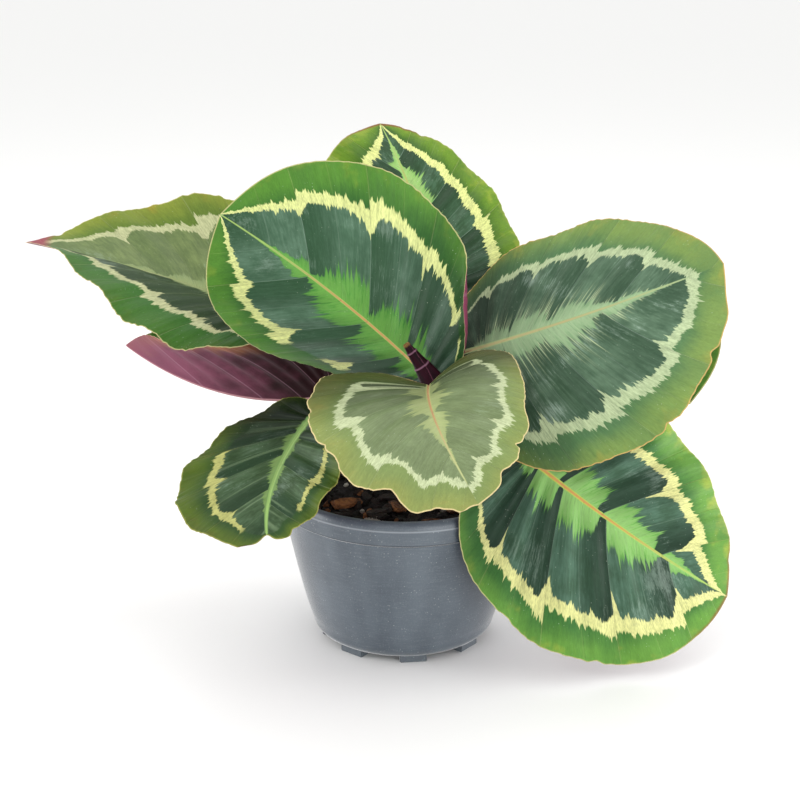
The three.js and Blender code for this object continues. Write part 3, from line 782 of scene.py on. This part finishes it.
def blade_mesh(name, leaf, look, seed):
    """A closed thin blade. vein_place holds (vein, place across the blade, panel), leaf_place holds
    (mm from the midrib, share of the length, zone), and a zone is 0 at the middle of the band."""
    columns = 2 * LEAF_SPANS + 1
    spread = (1 - np.cos(np.pi * np.arange(LEAF_SPANS + 1) / LEAF_SPANS)) / 2
    across = np.concatenate([-spread[:0:-1], spread])
    rows = np.arange(1, LEAF_ROWS) / LEAF_ROWS
    t, u = (grid.ravel() for grid in np.meshgrid(rows, across, indexing="ij"))
    t = np.concatenate([[0.0], t, [1.0]])
    u = np.concatenate([[0.0], u, [0.0]])
    middle, l, x = blade_surface(name, leaf, look, t, u, seed)
    s = l / (leaf.length + leaf.tip)
    from_margin = margin_distance(name, leaf, l, x, u, seed)
    half = np.where(u > 0, 0, 1)
    ring = 1 - from_margin / (leaf.width / 2)
    lobes = look.base_closing * smooth(-s, -0.3, 0.05)
    closing = look.closing * smooth(s, 0.45, 0.85) + lobes
    zone = lerp(np.abs(u), ring, closing) + LOBE_SHIFT * lobes - np.array(look.band_at)[half]
    tip = len(t) - 1
    at = 1 + np.arange((LEAF_ROWS - 1) * columns).reshape(LEAF_ROWS - 1, columns)
    a, b = at[:-1, :-1].ravel(), at[:-1, 1:].ravel()
    c, d = at[1:, :-1].ravel(), at[1:, 1:].ravel()
    quads = np.stack([a, c, d, b], 1)
    pole = np.zeros(columns - 1, int)
    fans = np.concatenate([
        np.stack([pole, at[0, :-1], at[0, 1:]], 1),
        np.stack([pole + tip, at[-1, 1:], at[-1, :-1]], 1),
    ])
    triangles = np.concatenate([quads[:, :3], quads[:, [0, 2, 3]], fans])
    normals = smooth_normals(middle, triangles)
    keel = RIB_DEPTH * (1 - t) * bell(x, 0, RIB_WIDTH * (1.2 - t))
    groove = GROOVE_DEPTH * (1 - t) * bell(x, 0, GROOVE_WIDTH)
    thick = SHEET_THICKNESS / 2 * np.clip(from_margin / 0.5, 0.35, 1)
    upper = middle + normals * (thick - groove)[:, None]
    lower = middle - normals * (thick + keel)[:, None]
    count = len(middle)
    rim = np.concatenate([[0], at[:, 0], [tip], at[::-1, -1]])
    after = np.roll(rim, -1)
    walls = np.stack([rim, rim + count, after + count, after], 1)
    faces = [*quads, *fans, *(quads[:, ::-1] + count), *(fans[:, ::-1] + count), *walls]
    sheet = len(quads) + len(fans)
    slots = [0] * sheet + [1] * sheet + [2] * len(walls)
    fields = dict(
        vein_place=np.stack([t, u, panel_number(look, t, half)], 1),
        leaf_place=np.stack([x, s, zone], 1),
        from_margin=from_margin,
    )
    both = {name: np.concatenate([values, values]) for name, values in fields.items()}
    points = np.concatenate([upper, lower])
    mesh = new_mesh(name, points, [face.tolist() for face in faces], **both)
    mesh.polygons.foreach_set("material_index", slots)
    return mesh


# ---- stalks and the new leaf ----

def bezier(p0, p1, p2, p3, f):
    f = f[:, None]
    return p0 * (1 - f) ** 3 + 3 * p1 * f * (1 - f) ** 2 + 3 * p2 * f ** 2 * (1 - f) + p3 * f ** 3


def evenly(points, count):
    """The same line with its points an even distance apart."""
    lengths = np.concatenate([[0], np.cumsum(np.linalg.norm(np.diff(points, axis=0), axis=1))])
    places = np.linspace(0, lengths[-1], count + 1)
    return np.stack([np.interp(places, lengths, points[:, axis]) for axis in range(3)], 1)


def stalk_line(leaf, steps):
    """From the crown in the soil up to the joint under the blade."""
    along, _, normal = (vector[0] for vector in rib_frame(leaf, np.zeros(1)))
    end_rise = STALK.end_radius / math.hypot(1, STALK.lean)
    below = BLADE_THICKNESS / 2 + RIB_DEPTH + GAP + end_rise - STALK_SEAT
    foot = np.array([*leaf.root, SOIL.top - STALK.depth], float)
    end = rib_point(leaf, np.array([STALK.under]))[0] - normal * below
    reach = np.linalg.norm(end - foot)
    climb = foot + np.array([0, 0, reach * STALK.climb]) + np.array(leaf.bow)
    arrive = along + normal * STALK.lean
    arrive *= reach * STALK.arrive / np.linalg.norm(arrive)
    return evenly(bezier(foot, climb, end - arrive, end, np.linspace(0, 1, 400)), steps)


def stalk_radius(fraction, around):
    sheath = np.maximum(0, 1 - fraction / STALK.sheath) ** 1.5
    joint = smooth(fraction, STALK.joint_start, STALK.joint_start + STALK.joint_taper)
    slim = lerp(STALK.neck_radius, STALK.foot_radius, sheath)
    round_end = np.sqrt(np.clip((1 - fraction) / 0.03, 0.1, 1))
    return lerp(slim, STALK.joint_radius, joint) * round_end


def carried_frames(points):
    """Directions across a line that turn as little as they can along it."""
    tangents = np.gradient(points, axis=0)
    tangents /= np.linalg.norm(tangents, axis=1)[:, None]
    first = np.cross(tangents[0], (1.0, 0.0, 0.0))
    normals = [first / np.linalg.norm(first)]
    for tangent in tangents[1:]:
        normal = normals[-1] - tangent * normals[-1].dot(tangent)
        normals.append(normal / np.linalg.norm(normal))
    normals = np.array(normals)
    return normals, np.cross(tangents, normals)


def tube_mesh(name, points, sides, radius_at, hollow=0):
    """A closed tube, open at its end to the depth hollow. tube_place holds (fraction along,
    fraction round, distance along)."""
    normals, binormals = carried_frames(points)
    steps = len(points) - 1
    f, k = np.meshgrid(np.arange(steps + 1) / steps, np.arange(sides) / sides, indexing="ij")
    r = radius_at(f, k)[..., None]
    angle = (2 * np.pi * k)[..., None]
    ring = normals[:, None] * np.cos(angle) + binormals[:, None] * np.sin(angle)
    body = (points[:, None] + ring * r).reshape(-1, 3)
    if hollow:
        down = (points[-2] - points[-1]) / np.linalg.norm(points[-2] - points[-1])
        for depth, narrow in ((0, 0.72), (hollow, 0.6)):
            body = np.concatenate([body, points[-1] + down * depth + ring[-1] * r[-1] * narrow])
            f = np.concatenate([f, f[-1:]])
            k = np.concatenate([k, k[-1:]])
        steps += 2
        points = np.concatenate([points, points[-1:], points[-1:] + down * hollow])
    vertices = np.concatenate([body, points[:1], points[-1:]])
    faces = []
    for i in range(steps):
        for j in range(sides):
            a, b = i * sides + j, i * sides + (j + 1) % sides
            faces.append((a, b, b + sides, a + sides))
    for j in range(sides):
        faces.append((len(body), (j + 1) % sides, j))
        faces.append((len(body) + 1, steps * sides + j, steps * sides + (j + 1) % sides))
    length = np.linalg.norm(np.diff(points, axis=0), axis=1).sum()
    place = np.stack([f.ravel(), k.ravel(), f.ravel() * length], 1)
    place = np.concatenate([place, [[0, 0, 0]], [[1, 0, length]]])
    return new_mesh(name, vertices, faces, tube_place=place)


def stalk_material():
    """Green-brown stalk, striped lengthwise, reddish at its foot and at the joint."""
    paint = Paint("leaf_stalk")
    along, around, distance = paint.place("tube_place")
    stripe = paint.noise(paint.vector(around * 14, distance * 0.03, paint.position()[0] * 5), 1, 3)
    fleck = paint.noise(paint.space(), 900, 2)
    paint.tones(stripe * 0.5 + 0.5, "#6f8440", "#8f9a58")
    paint.coat(along.falling(0.05, 0.4), "#6a4a3c")
    joint = along.rising(STALK.joint_start, STALK.joint_start + 0.06)
    paint.coat(joint * 0.6, "#9a8a52")
    paint.coat((fleck * 0.6).rising(0.5, 1) * 0.5, "#5a3a3c")
    paint.relief(stripe * 0.4 + 0.5 + fleck * 0.08, 0.3)
    return paint.finish(0.45 + stripe * 0.03)


def new_leaf_line(steps):
    """A centripetal spline through the path's points, as three.js draws it."""
    path = [np.array(p, float) for p in NEW_LEAF.path]
    path = [2 * path[0] - path[1], *path, 2 * path[-1] - path[-2]]
    line = []
    for p0, p1, p2, p3 in zip(path, path[1:], path[2:], path[3:]):
        d0, d1, d2 = (np.linalg.norm(b - a) ** 0.5 for a, b in ((p0, p1), (p1, p2), (p2, p3)))
        m1 = ((p1 - p0) / d0 - (p2 - p0) / (d0 + d1) + (p2 - p1) / d1) * d1
        m2 = ((p2 - p1) / d1 - (p3 - p1) / (d1 + d2) + (p3 - p2) / d2) * d1
        f = np.linspace(0, 1, 60)[:, None]
        curve = p1 * (2 * f ** 3 - 3 * f ** 2 + 1) + m1 * (f ** 3 - 2 * f ** 2 + f)
        line.append(curve + p2 * (3 * f ** 2 - 2 * f ** 3) + m2 * (f ** 3 - f ** 2))
    return evenly(np.concatenate(line), steps)


def new_leaf_radius(fraction, around):
    rolled = np.clip((fraction - NEW_LEAF.roll_start) / NEW_LEAF.roll_taper, 0, 1)
    end = np.clip((fraction - NEW_LEAF.end_start) / (1 - NEW_LEAF.end_start), 0, 1)
    body = lerp(NEW_LEAF.foot_radius, NEW_LEAF.roll_radius, rolled)
    edge = np.mod(around - NEW_LEAF.turns * fraction, 1)
    swollen = 1.3 * bell(fraction, 0.74, 0.12)
    radius = lerp(body, NEW_LEAF.end_radius, end) + swollen - NEW_LEAF.lap * rolled * edge
    for place, drop in COLLARS:
        radius = radius + 0.35 * bell(fraction, place, 0.006) + drop * (fraction < place)
    return radius


def new_leaf_material():
    paint = Paint("new_leaf")
    along, around, distance = paint.place("tube_place")
    stripe = paint.noise(paint.vector(around * 9, distance * 0.05, 2), 1, 3)
    streak = paint.noise(paint.vector(around * 60, distance * 0.08, 5), 1, 2)
    edge = (around - along * NEW_LEAF.turns + 1).fraction()
    paint.tones(stripe * 0.5 + 0.5, "#100308", "#2c0a18")
    # Lighter streaks: painted highlights.
    paint.coat((streak * 0.6).rising(0.2, 1) * 0.4, "#4c2036")
    paint.coat(edge.falling(0.0, 0.02) * along.rising(0.5, 0.6) * 0.4, "#80485c")
    paint.coat(along.falling(0.3, 0.55), "#76804a")
    for place, _ in COLLARS:
        ring = abs(along - place).falling(0.0, 0.006)
        paint.coat(ring * 0.5, "#a2748a")
    paint.coat(along.rising(0.985, 0.997), "#7a5a34")
    paint.relief(stripe * 0.4 + streak * 0.15 + 0.5, 0.3)
    return paint.finish(0.45 + stripe * 0.04, Specular_IOR_Level=0.1)


# ---- pot ----

def wall_radius(z):
    """The radius of the pot's outside below its rim band."""
    rise = (z - POT.corner_height) / (POT.band_bottom - POT.corner_height)
    share = np.clip(rise, 0, 1) ** POT.flare
    return lerp(POT.base_radius, POT.rim_radius - POT.band_step, share)


def inner_radius(z):
    return np.minimum(wall_radius(z), POT.rim_radius - POT.lip_in) - POT.wall


def arc(centre, radii, start, stop, count):
    """Points on part of an ellipse, between two angles in degrees."""
    turns = np.radians(np.linspace(start, stop, count))
    return [(centre[0] + radii[0] * math.cos(a), centre[1] + radii[1] * math.sin(a)) for a in turns]


def pot_profile():
    """The pot's section, from the middle of its underside out, up, over the lip and back in."""
    p = POT
    edge = p.base_radius - p.base_round
    corner = (p.base_round, p.corner_height - p.floor_under)
    outer = arc((edge, p.corner_height), corner, -90, 0, 8)
    outer += [(wall_radius(z), z) for z in np.linspace(p.corner_height + 3, p.band_bottom, 24)]
    outer.append((p.rim_radius - 0.25, p.band_bottom + p.band_slant))
    outer.append((p.rim_radius, p.band_bottom + p.band_slant + 0.35))
    outer.append((p.rim_radius, p.height - p.lip_drop - 0.4))
    shoulder = (p.rim_radius - p.lip_in, p.height - p.lip_drop)
    outer += arc(shoulder, (p.lip_in, p.lip_drop), 0, 90, 10)
    inside = [(inner_radius(z), z) for z in np.linspace(p.height - p.lip_inside, 9, 20)]
    return [(0.0, p.floor_under), *outer, *inside, (edge, p.floor_top), (0.0, p.floor_top)]


def lathe(bm, profile, sides):
    """Turns a profile of (radius, height) about +Z."""
    rings = []
    for r, z in profile:
        turns = [2 * math.pi * k / sides for k in range(sides if r else 1)]
        ring = [(r * MM * math.cos(a), r * MM * math.sin(a), z * MM) for a in turns]
        rings.append([bm.verts.new(point) for point in ring])
    for low, high in zip(rings, rings[1:]):
        for k in range(sides):
            n = (k + 1) % sides
            pairs = ((low, k), (low, n), (high, n), (high, k))
            corners = [ring[place % len(ring)] for ring, place in pairs]
            bm.faces.new(list(dict.fromkeys(corners)))


def add_post(bm, x, y, z0, z1, radius, sides):
    where = Matrix.Translation(Vector((x, y, (z0 + z1) / 2)) * MM)
    bmesh.ops.create_cone(
        bm, cap_ends=True, segments=sides, radius1=radius * MM, radius2=radius * MM,
        depth=(z1 - z0) * MM, matrix=where,
    )


def add_foot(bm, angle):
    depth = FEET.outer - FEET.inner
    height = POT.floor_under + FEET.sunk
    size = Matrix.Diagonal((depth * MM, FEET.width * MM, height * MM, 1))
    place = Matrix.Translation(Vector((FEET.inner + depth / 2, 0, height / 2)) * MM)
    made = bmesh.ops.create_cube(bm, size=1, matrix=Matrix.Rotation(angle, 4, "Z") @ place @ size)
    edges = {edge for vertex in made["verts"] for edge in vertex.link_edges}
    bmesh.ops.bevel(bm, geom=list(edges), offset=0.5 * MM, segments=2, affect="EDGES")


def combine(target, tool, operation):
    """One Boolean between two meshes, applied."""
    base = new_object("base", target)
    other = new_object("tool", tool)
    modifier = base.modifiers.new("cut", "BOOLEAN")
    modifier.operation = operation
    modifier.object = other
    modifier.solver = "EXACT"
    modifier.use_self = True
    shown = base.evaluated_get(bpy.context.evaluated_depsgraph_get())
    result = bpy.data.meshes.new_from_object(shown)
    bpy.data.objects.remove(base)
    bpy.data.objects.remove(other)
    return result


def pot_mesh():
    body = mesh_of("pot", lambda bm: lathe(bm, pot_profile(), POT_SIDES))

    def feet(bm):
        for k in range(FEET.count):
            add_foot(bm, FEET.turn + 2 * math.pi * k / FEET.count)
        add_post(bm, 0, 0, 0, POT.floor_top - 1, HUB_RADIUS, 64)

    def drains(bm):
        for k in range(DRAINS.count):
            angle = 2 * math.pi * (k + 0.5) / DRAINS.count
            x, y = DRAINS.ring * math.cos(angle), DRAINS.ring * math.sin(angle)
            add_post(bm, x, y, -1, POT.floor_top + 1, DRAINS.radius, 32)

    body = combine(body, mesh_of("feet", feet), "UNION")
    body = combine(body, mesh_of("drains", drains), "DIFFERENCE")
    body.polygons.foreach_set("use_smooth", [True] * len(body.polygons))
    body.set_sharp_from_angle(angle=math.radians(35))
    return body


def pot_material():
    """Satin blue-grey plastic with faint upright flow marks, dust, and painted light and shade."""
    paint = Paint("pot_plastic")
    x, y, z = paint.position()
    place = paint.vector(x, y, z)
    grain = paint.noise(place, 1300, 3, 0.7)
    cloud = paint.noise(place, 22, 3)
    flow = paint.noise(paint.vector(x * 60, y * 60, z * 3), 1, 2)
    brushed = paint.noise(paint.vector(x * 120, y * 120, z * 1800), 1, 2)
    specks = paint.specks(place, 480, 0.07, 0.2)
    chosen = (paint.noise(place, 220, 0) * 0.5 + 0.5).rising(0.45, 0.7)
    paint.tones(cloud * 0.4 + flow * 0.35 + 0.5, "#3f4953", "#566069")
    # A painted highlight: a thin pale line along the lip's shoulder.
    lip = abs(z / MM - (POT.height - POT.lip_drop + 0.2)).falling(0.15, 0.7)
    paint.coat(lip * 0.5, "#a2a8ae")
    paint.coat((brushed * 0.4 + grain * 0.7 + 0.2).rising(0, 1.4) * 0.5, "#7e868c")
    paint.coat(specks * chosen * 0.4, "#b4bab8")
    # Painted shade on the band's lower step, which dims its bright edge.
    step_shade = abs(z / MM - POT.band_bottom - 0.7).falling(0.6, 1.1)
    paint.coat(step_shade * 0.75, "#2c333b")
    # Lighter near the bottom.
    low = (z / MM + cloud * 2).falling(4, 12)
    paint.coat(low * 0.2, "#6b6f70")
    paint.relief(grain * 0.2 + flow * 0.25 + specks * chosen * 0.4, 0.12)
    return paint.finish(
        0.34 + cloud * 0.03 + grain * 0.02, Specular_IOR_Level=0.6, Sheen_Weight=1.0,
        Sheen_Roughness=0.3,
    )


# ---- soil ----

# Large chips that lie on top at the front, as (x, y, turn, size).
FRONT_CHIPS = [
    (-31, -25, 0.4, 1.1), (-4, -31, 1.9, 0.9), (18, -55, -0.1, 1.1), (38, -42, 0.6, 0.9),
]
PERLITE_PATCH = (-16, -49)
PERLITE_GRAINS = 16
SMALL_CHIPS = 90
CRUMBS = 420
SOIL_SIDES = 150
SOIL_SEED = 5
MIX, DARK, RED, PERLITE = range(4)  # the soil's material slots
ROOTS = [np.array(leaf.root) for leaf in LEAVES.values()] + [np.array(NEW_LEAF.path[0][:2])]


def soil_height(distance):
    return SOIL.top + SOIL.crown * bell(distance, 0, SOIL.crown_spread)


def soil_radius(z):
    return inner_radius(z) - SOIL.wall_gap


def seeded(seed):
    """The repeatable stream of part.mjs."""
    state = seed
    while True:
        state = state * 16807 % 2147483647
        yield state / 2147483647


def chip_places():
    """The bark chips of part.mjs, one after another."""
    stream = seeded(BARK.seed)
    for _ in range(BARK.count):
        reach = (soil_radius(SOIL.top) - BARK.long / 2 - 1) * math.sqrt(next(stream))
        around = 2 * math.pi * next(stream)
        size = lerp(BARK.smallest, 1, next(stream))
        tilt_x = lerp(-BARK.tilt, BARK.tilt, next(stream))
        tilt_y = lerp(-BARK.tilt, BARK.tilt, next(stream))
        turn = math.pi * next(stream)
        z = soil_height(reach) + lerp(BARK.low, BARK.high, next(stream))
        where = Vector((reach * math.cos(around), reach * math.sin(around), z))
        turned = Matrix.Rotation(turn, 4, "Z") @ Matrix.Rotation(tilt_y, 4, "Y")
        yield where, turned @ Matrix.Rotation(tilt_x, 4, "X"), size


def set_slot(vertices, slot):
    for face in {face for vertex in vertices for face in vertex.link_faces}:
        face.material_index = slot


def add_chip(bm, where, turned, size, random, slot):
    """A flake of bark: a tapered slab with worn corners and a rough outline."""
    long, wide, thick = MM * size * BARK.long, MM * size * BARK.wide, MM * BARK.thick
    made = bmesh.ops.create_cube(bm, size=1)
    edges = list({edge for vertex in made["verts"] for edge in vertex.link_edges})
    made = bmesh.ops.subdivide_edges(bm, edges=edges, cuts=3, use_grid_fill=True)
    vertices = {item for item in made["geom"] if isinstance(item, bmesh.types.BMVert)}
    vertices |= {vertex for edge in edges if edge.is_valid for vertex in edge.verts}
    for vertex in sorted(vertices, key=lambda item: item.index):
        x, y, z = vertex.co
        worn = 1 - 0.35 * (x * x + y * y) * 2 * abs(z) * 2
        ragged = 1 + 0.16 * (random.random() - 0.5)
        y *= lerp(1, BARK.taper, x + 0.5) * ragged
        z += 0.12 * math.sin(5 * x + 3 * y) + 0.1 * (random.random() - 0.5)
        vertex.co = turned @ Vector((x * long * worn, y * wide * worn, z * thick * 0.8))
        vertex.co += where * MM
    set_slot(vertices, slot)


def add_crumb(bm, where, radius, random, slot):
    """A small irregular lump."""
    made = bmesh.ops.create_icosphere(bm, subdivisions=1, radius=radius * MM)
    stretch = [0.7 + 0.6 * random.random() for _ in range(3)]
    for vertex in made["verts"]:
        jolt = 0.75 + 0.5 * random.random()
        vertex.co = Vector(c * s * jolt for c, s in zip(vertex.co, stretch)) + where * MM
    set_slot(made["verts"], slot)


def add_mix(bm, random):
    """The potting mix, with its top made lumpy."""
    edge = soil_radius(SOIL.top) - 0.3
    walls = (SOIL.corner_top, 22, 40, 60, 78, SOIL.top - 1.5)
    profile = [(0.0, SOIL.bottom), (SOIL.bottom_radius, SOIL.bottom)]
    profile += [(soil_radius(z), z) for z in walls]
    profile += [(edge * k / 60, soil_height(edge * k / 60)) for k in range(60, -1, -1)]
    lathe(bm, profile, SOIL_SIDES)
    for vertex in bm.verts:
        x, y, z = vertex.co / MM
        if z > SOIL.top - 1:
            lumps = math.sin(0.9 * x + 1.3) * math.sin(0.8 * y) + math.sin(0.37 * x - 0.5 * y)
            vertex.co.z += (0.5 * lumps + 0.9 * (random.random() - 0.5)) * MM * 0.8


def on_soil(x, y, lift):
    return Vector((x, y, soil_height(math.hypot(x, y)) + lift))


def free_spot(random, clearance, spread):
    """A place on the soil at least the clearance away from every stalk."""
    while True:
        reach, around = spread * math.sqrt(random.random()), 2 * math.pi * random.random()
        spot = np.array([reach * math.cos(around), reach * math.sin(around)])
        if min(np.linalg.norm(spot - root) for root in ROOTS) > clearance:
            return Vector((*spot, soil_height(reach)))


def add_small_chip(bm, random, slot):
    spot = free_spot(random, 6, 58) + Vector((0, 0, random.random() * 1.2))
    tilts = [Matrix.Rotation((random.random() - 0.5) * 1.2, 4, axis) for axis in "XY"]
    turned = Matrix.Rotation(random.random() * math.pi, 4, "Z") @ tilts[0] @ tilts[1]
    add_chip(bm, spot, turned, 0.22 + 0.3 * random.random(), random, slot)


def fill_soil(bm):
    random = np.random.default_rng(SOIL_SEED)
    add_mix(bm, random)
    for n, (where, turned, size) in enumerate(chip_places()):
        add_chip(bm, where, turned, size, random, RED if n % 3 == 0 else DARK)
    for x, y, turn, size in FRONT_CHIPS:
        turned = Matrix.Rotation(turn, 4, "Z") @ Matrix.Rotation(0.25, 4, "X")
        add_chip(bm, on_soil(x, y, 1.6), turned, size, random, RED)
    for n in range(SMALL_CHIPS):
        add_small_chip(bm, random, RED if n % 3 == 0 else DARK)
    for n in range(CRUMBS):
        radius = 0.5 + 1.3 * random.random() ** 2
        spot = free_spot(random, 4.5, 62) + Vector((0, 0, 0.3))
        add_crumb(bm, spot, radius, random, PERLITE if n % 9 == 0 else MIX)
    for _ in range(PERLITE_GRAINS):
        x, y = np.array(PERLITE_PATCH) + random.normal(0, 3.2, 2)
        add_crumb(bm, on_soil(x, y, 1.2), 0.7 + 0.8 * random.random(), random, PERLITE)


def ground_material(name, dark, light, scale, roughness):
    paint = Paint(name)
    place = paint.space()
    coarse = paint.noise(place, scale, 4, 0.65)
    fine = paint.noise(place, scale * 7, 3, 0.6)
    paint.tones(coarse * 0.45 + fine * 0.2 + 0.45, dark, light)
    paint.relief(coarse * 0.5 + fine * 0.3 + 0.5, 0.9)
    return paint.finish(roughness + fine * 0.05, Specular_IOR_Level=0.35)


def bark_material(name, dark, light):
    """Bark with its grain along whichever way it lies."""
    paint = Paint(name)
    x, y, z = paint.position()
    fibres = paint.noise(paint.vector(x * 500 + y * 300, y * 250 - x * 180, z * 900), 1, 4, 0.65)
    patch = paint.noise(paint.space(), 90, 2)
    paint.tones(fibres * 0.4 + patch * 0.45 + 0.4, dark, light)
    paint.relief(fibres * 0.5 + 0.5, 0.7)
    return paint.finish(0.75 + fibres * 0.05, Specular_IOR_Level=0.3)


# ---- camera, light and floor ----

CAMERA_PITCH = 18
CAMERA_DISTANCE = 900
CAMERA_TARGET = (-2, 0, 137.5)
CAMERA_LENS = 73.0
CAMERA_SENSOR = 36
# Each softbox's place and target in metres, its diameter and its power in watts.
SOFTBOXES = {
    "key": ((-0.8, -0.9, 1.3), (0, 0, 0.12), 0.9, 6),
    "fill": ((0.7, -1.2, 0.12), (0, 0, 0.06), 0.8, 7),
    "top": ((0.1, 0.6, 1.4), (0, 0, 0.15), 0.8, 3.5),
    "left": ((-1.3, 0.05, 0.3), (0, 0, 0.05), 0.7, 8),
    "right": ((1.3, 0.05, 0.3), (0, 0, 0.05), 0.7, 9),
}
FLOOR_RADIUS = 9  # metres


def add_camera():
    data = bpy.data.cameras.new("camera")
    data.lens = CAMERA_LENS
    data.sensor_width = CAMERA_SENSOR
    data.sensor_fit = "HORIZONTAL"
    data.clip_start = 0.01
    camera = new_object("camera", data)
    pitch = math.radians(CAMERA_PITCH)
    away = Vector((0, -math.cos(pitch), math.sin(pitch))) * CAMERA_DISTANCE
    camera.location = (Vector(CAMERA_TARGET) + away) * MM
    camera.rotation_euler = (math.pi / 2 - pitch, 0, 0)
    bpy.context.scene.camera = camera


def add_softbox(name, place, target, size, power):
    data = bpy.data.lights.new(name, "AREA")
    data.shape = "DISK"
    data.size = size
    data.energy = power
    lamp = new_object(name, data)
    lamp.location = place
    direction = Vector(target) - Vector(place)
    lamp.rotation_euler = direction.to_track_quat("-Z", "Y").to_euler()


def add_studio():
    bpy.context.scene.view_settings.view_transform = "Standard"
    world = bpy.data.worlds.new("studio")
    bpy.context.scene.world = world
    world.use_nodes = True
    background = world.node_tree.nodes["Background"]
    background.inputs["Color"].default_value = (1.0, 1.0, 1.0, 1)
    background.inputs["Strength"].default_value = 1.0
    for name, settings in SOFTBOXES.items():
        add_softbox(name, *settings)


def add_floor():
    disc = dict(cap_ends=True, segments=64, radius=FLOOR_RADIUS)
    floor = new_object("floor", mesh_of("floor", lambda bm: bmesh.ops.create_circle(bm, **disc)))
    paint = Paint("floor_paint")
    speckle = paint.noise(paint.space(), 240, 2)
    paint.colour = paint.mix(speckle * 0.03 + 0.5, "#f2f2f0", "#f8f8f7")
    floor.data.materials.append(paint.finish(0.6))


# ---- the scene ----

def add_plant():
    stalk = stalk_material()
    for n, (name, leaf) in enumerate(LEAVES.items()):
        look = Values(**{**LEAF_LOOK, **LOOKS[name]})
        mesh = blade_mesh(name, leaf, look, 10 * n)
        skins = [leaf_top(name, look), leaf_under(name, look), leaf_edge(name, look)]
        add_piece("blade_" + name, mesh, skins, "leaf_blade_" + name)
        line = stalk_line(leaf, STALK_STEPS)
        mesh = tube_mesh("stalk_" + name, line, STALK_SIDES, stalk_radius)
        add_piece("stalk_" + name, mesh, [stalk], "leaf_stalk_" + name)
    line = new_leaf_line(ROLL_STEPS)
    mesh = tube_mesh("rolled_leaf", line, ROLL_SIDES, new_leaf_radius, ROLL_HOLLOW)
    add_piece("rolled_leaf", mesh, [new_leaf_material()], "new_leaf_roll")


def add_pot_and_soil():
    add_piece("nursery_pot", pot_mesh(), [pot_material()], "pot")
    skins = [
        ground_material("potting_mix", "#080504", "#1e1510", 260, 0.9),
        bark_material("dark_bark", "#0e0805", "#2c1a10"),
        bark_material("red_bark", "#3a1f0f", "#9a6438"),
        ground_material("perlite", "#a8a294", "#dcd8cc", 900, 0.85),
    ]
    add_piece("soil_and_bark", mesh_of("soil", fill_soil), skins, "soil")


add_camera()
add_studio()
add_floor()
add_plant()
add_pot_and_soil()
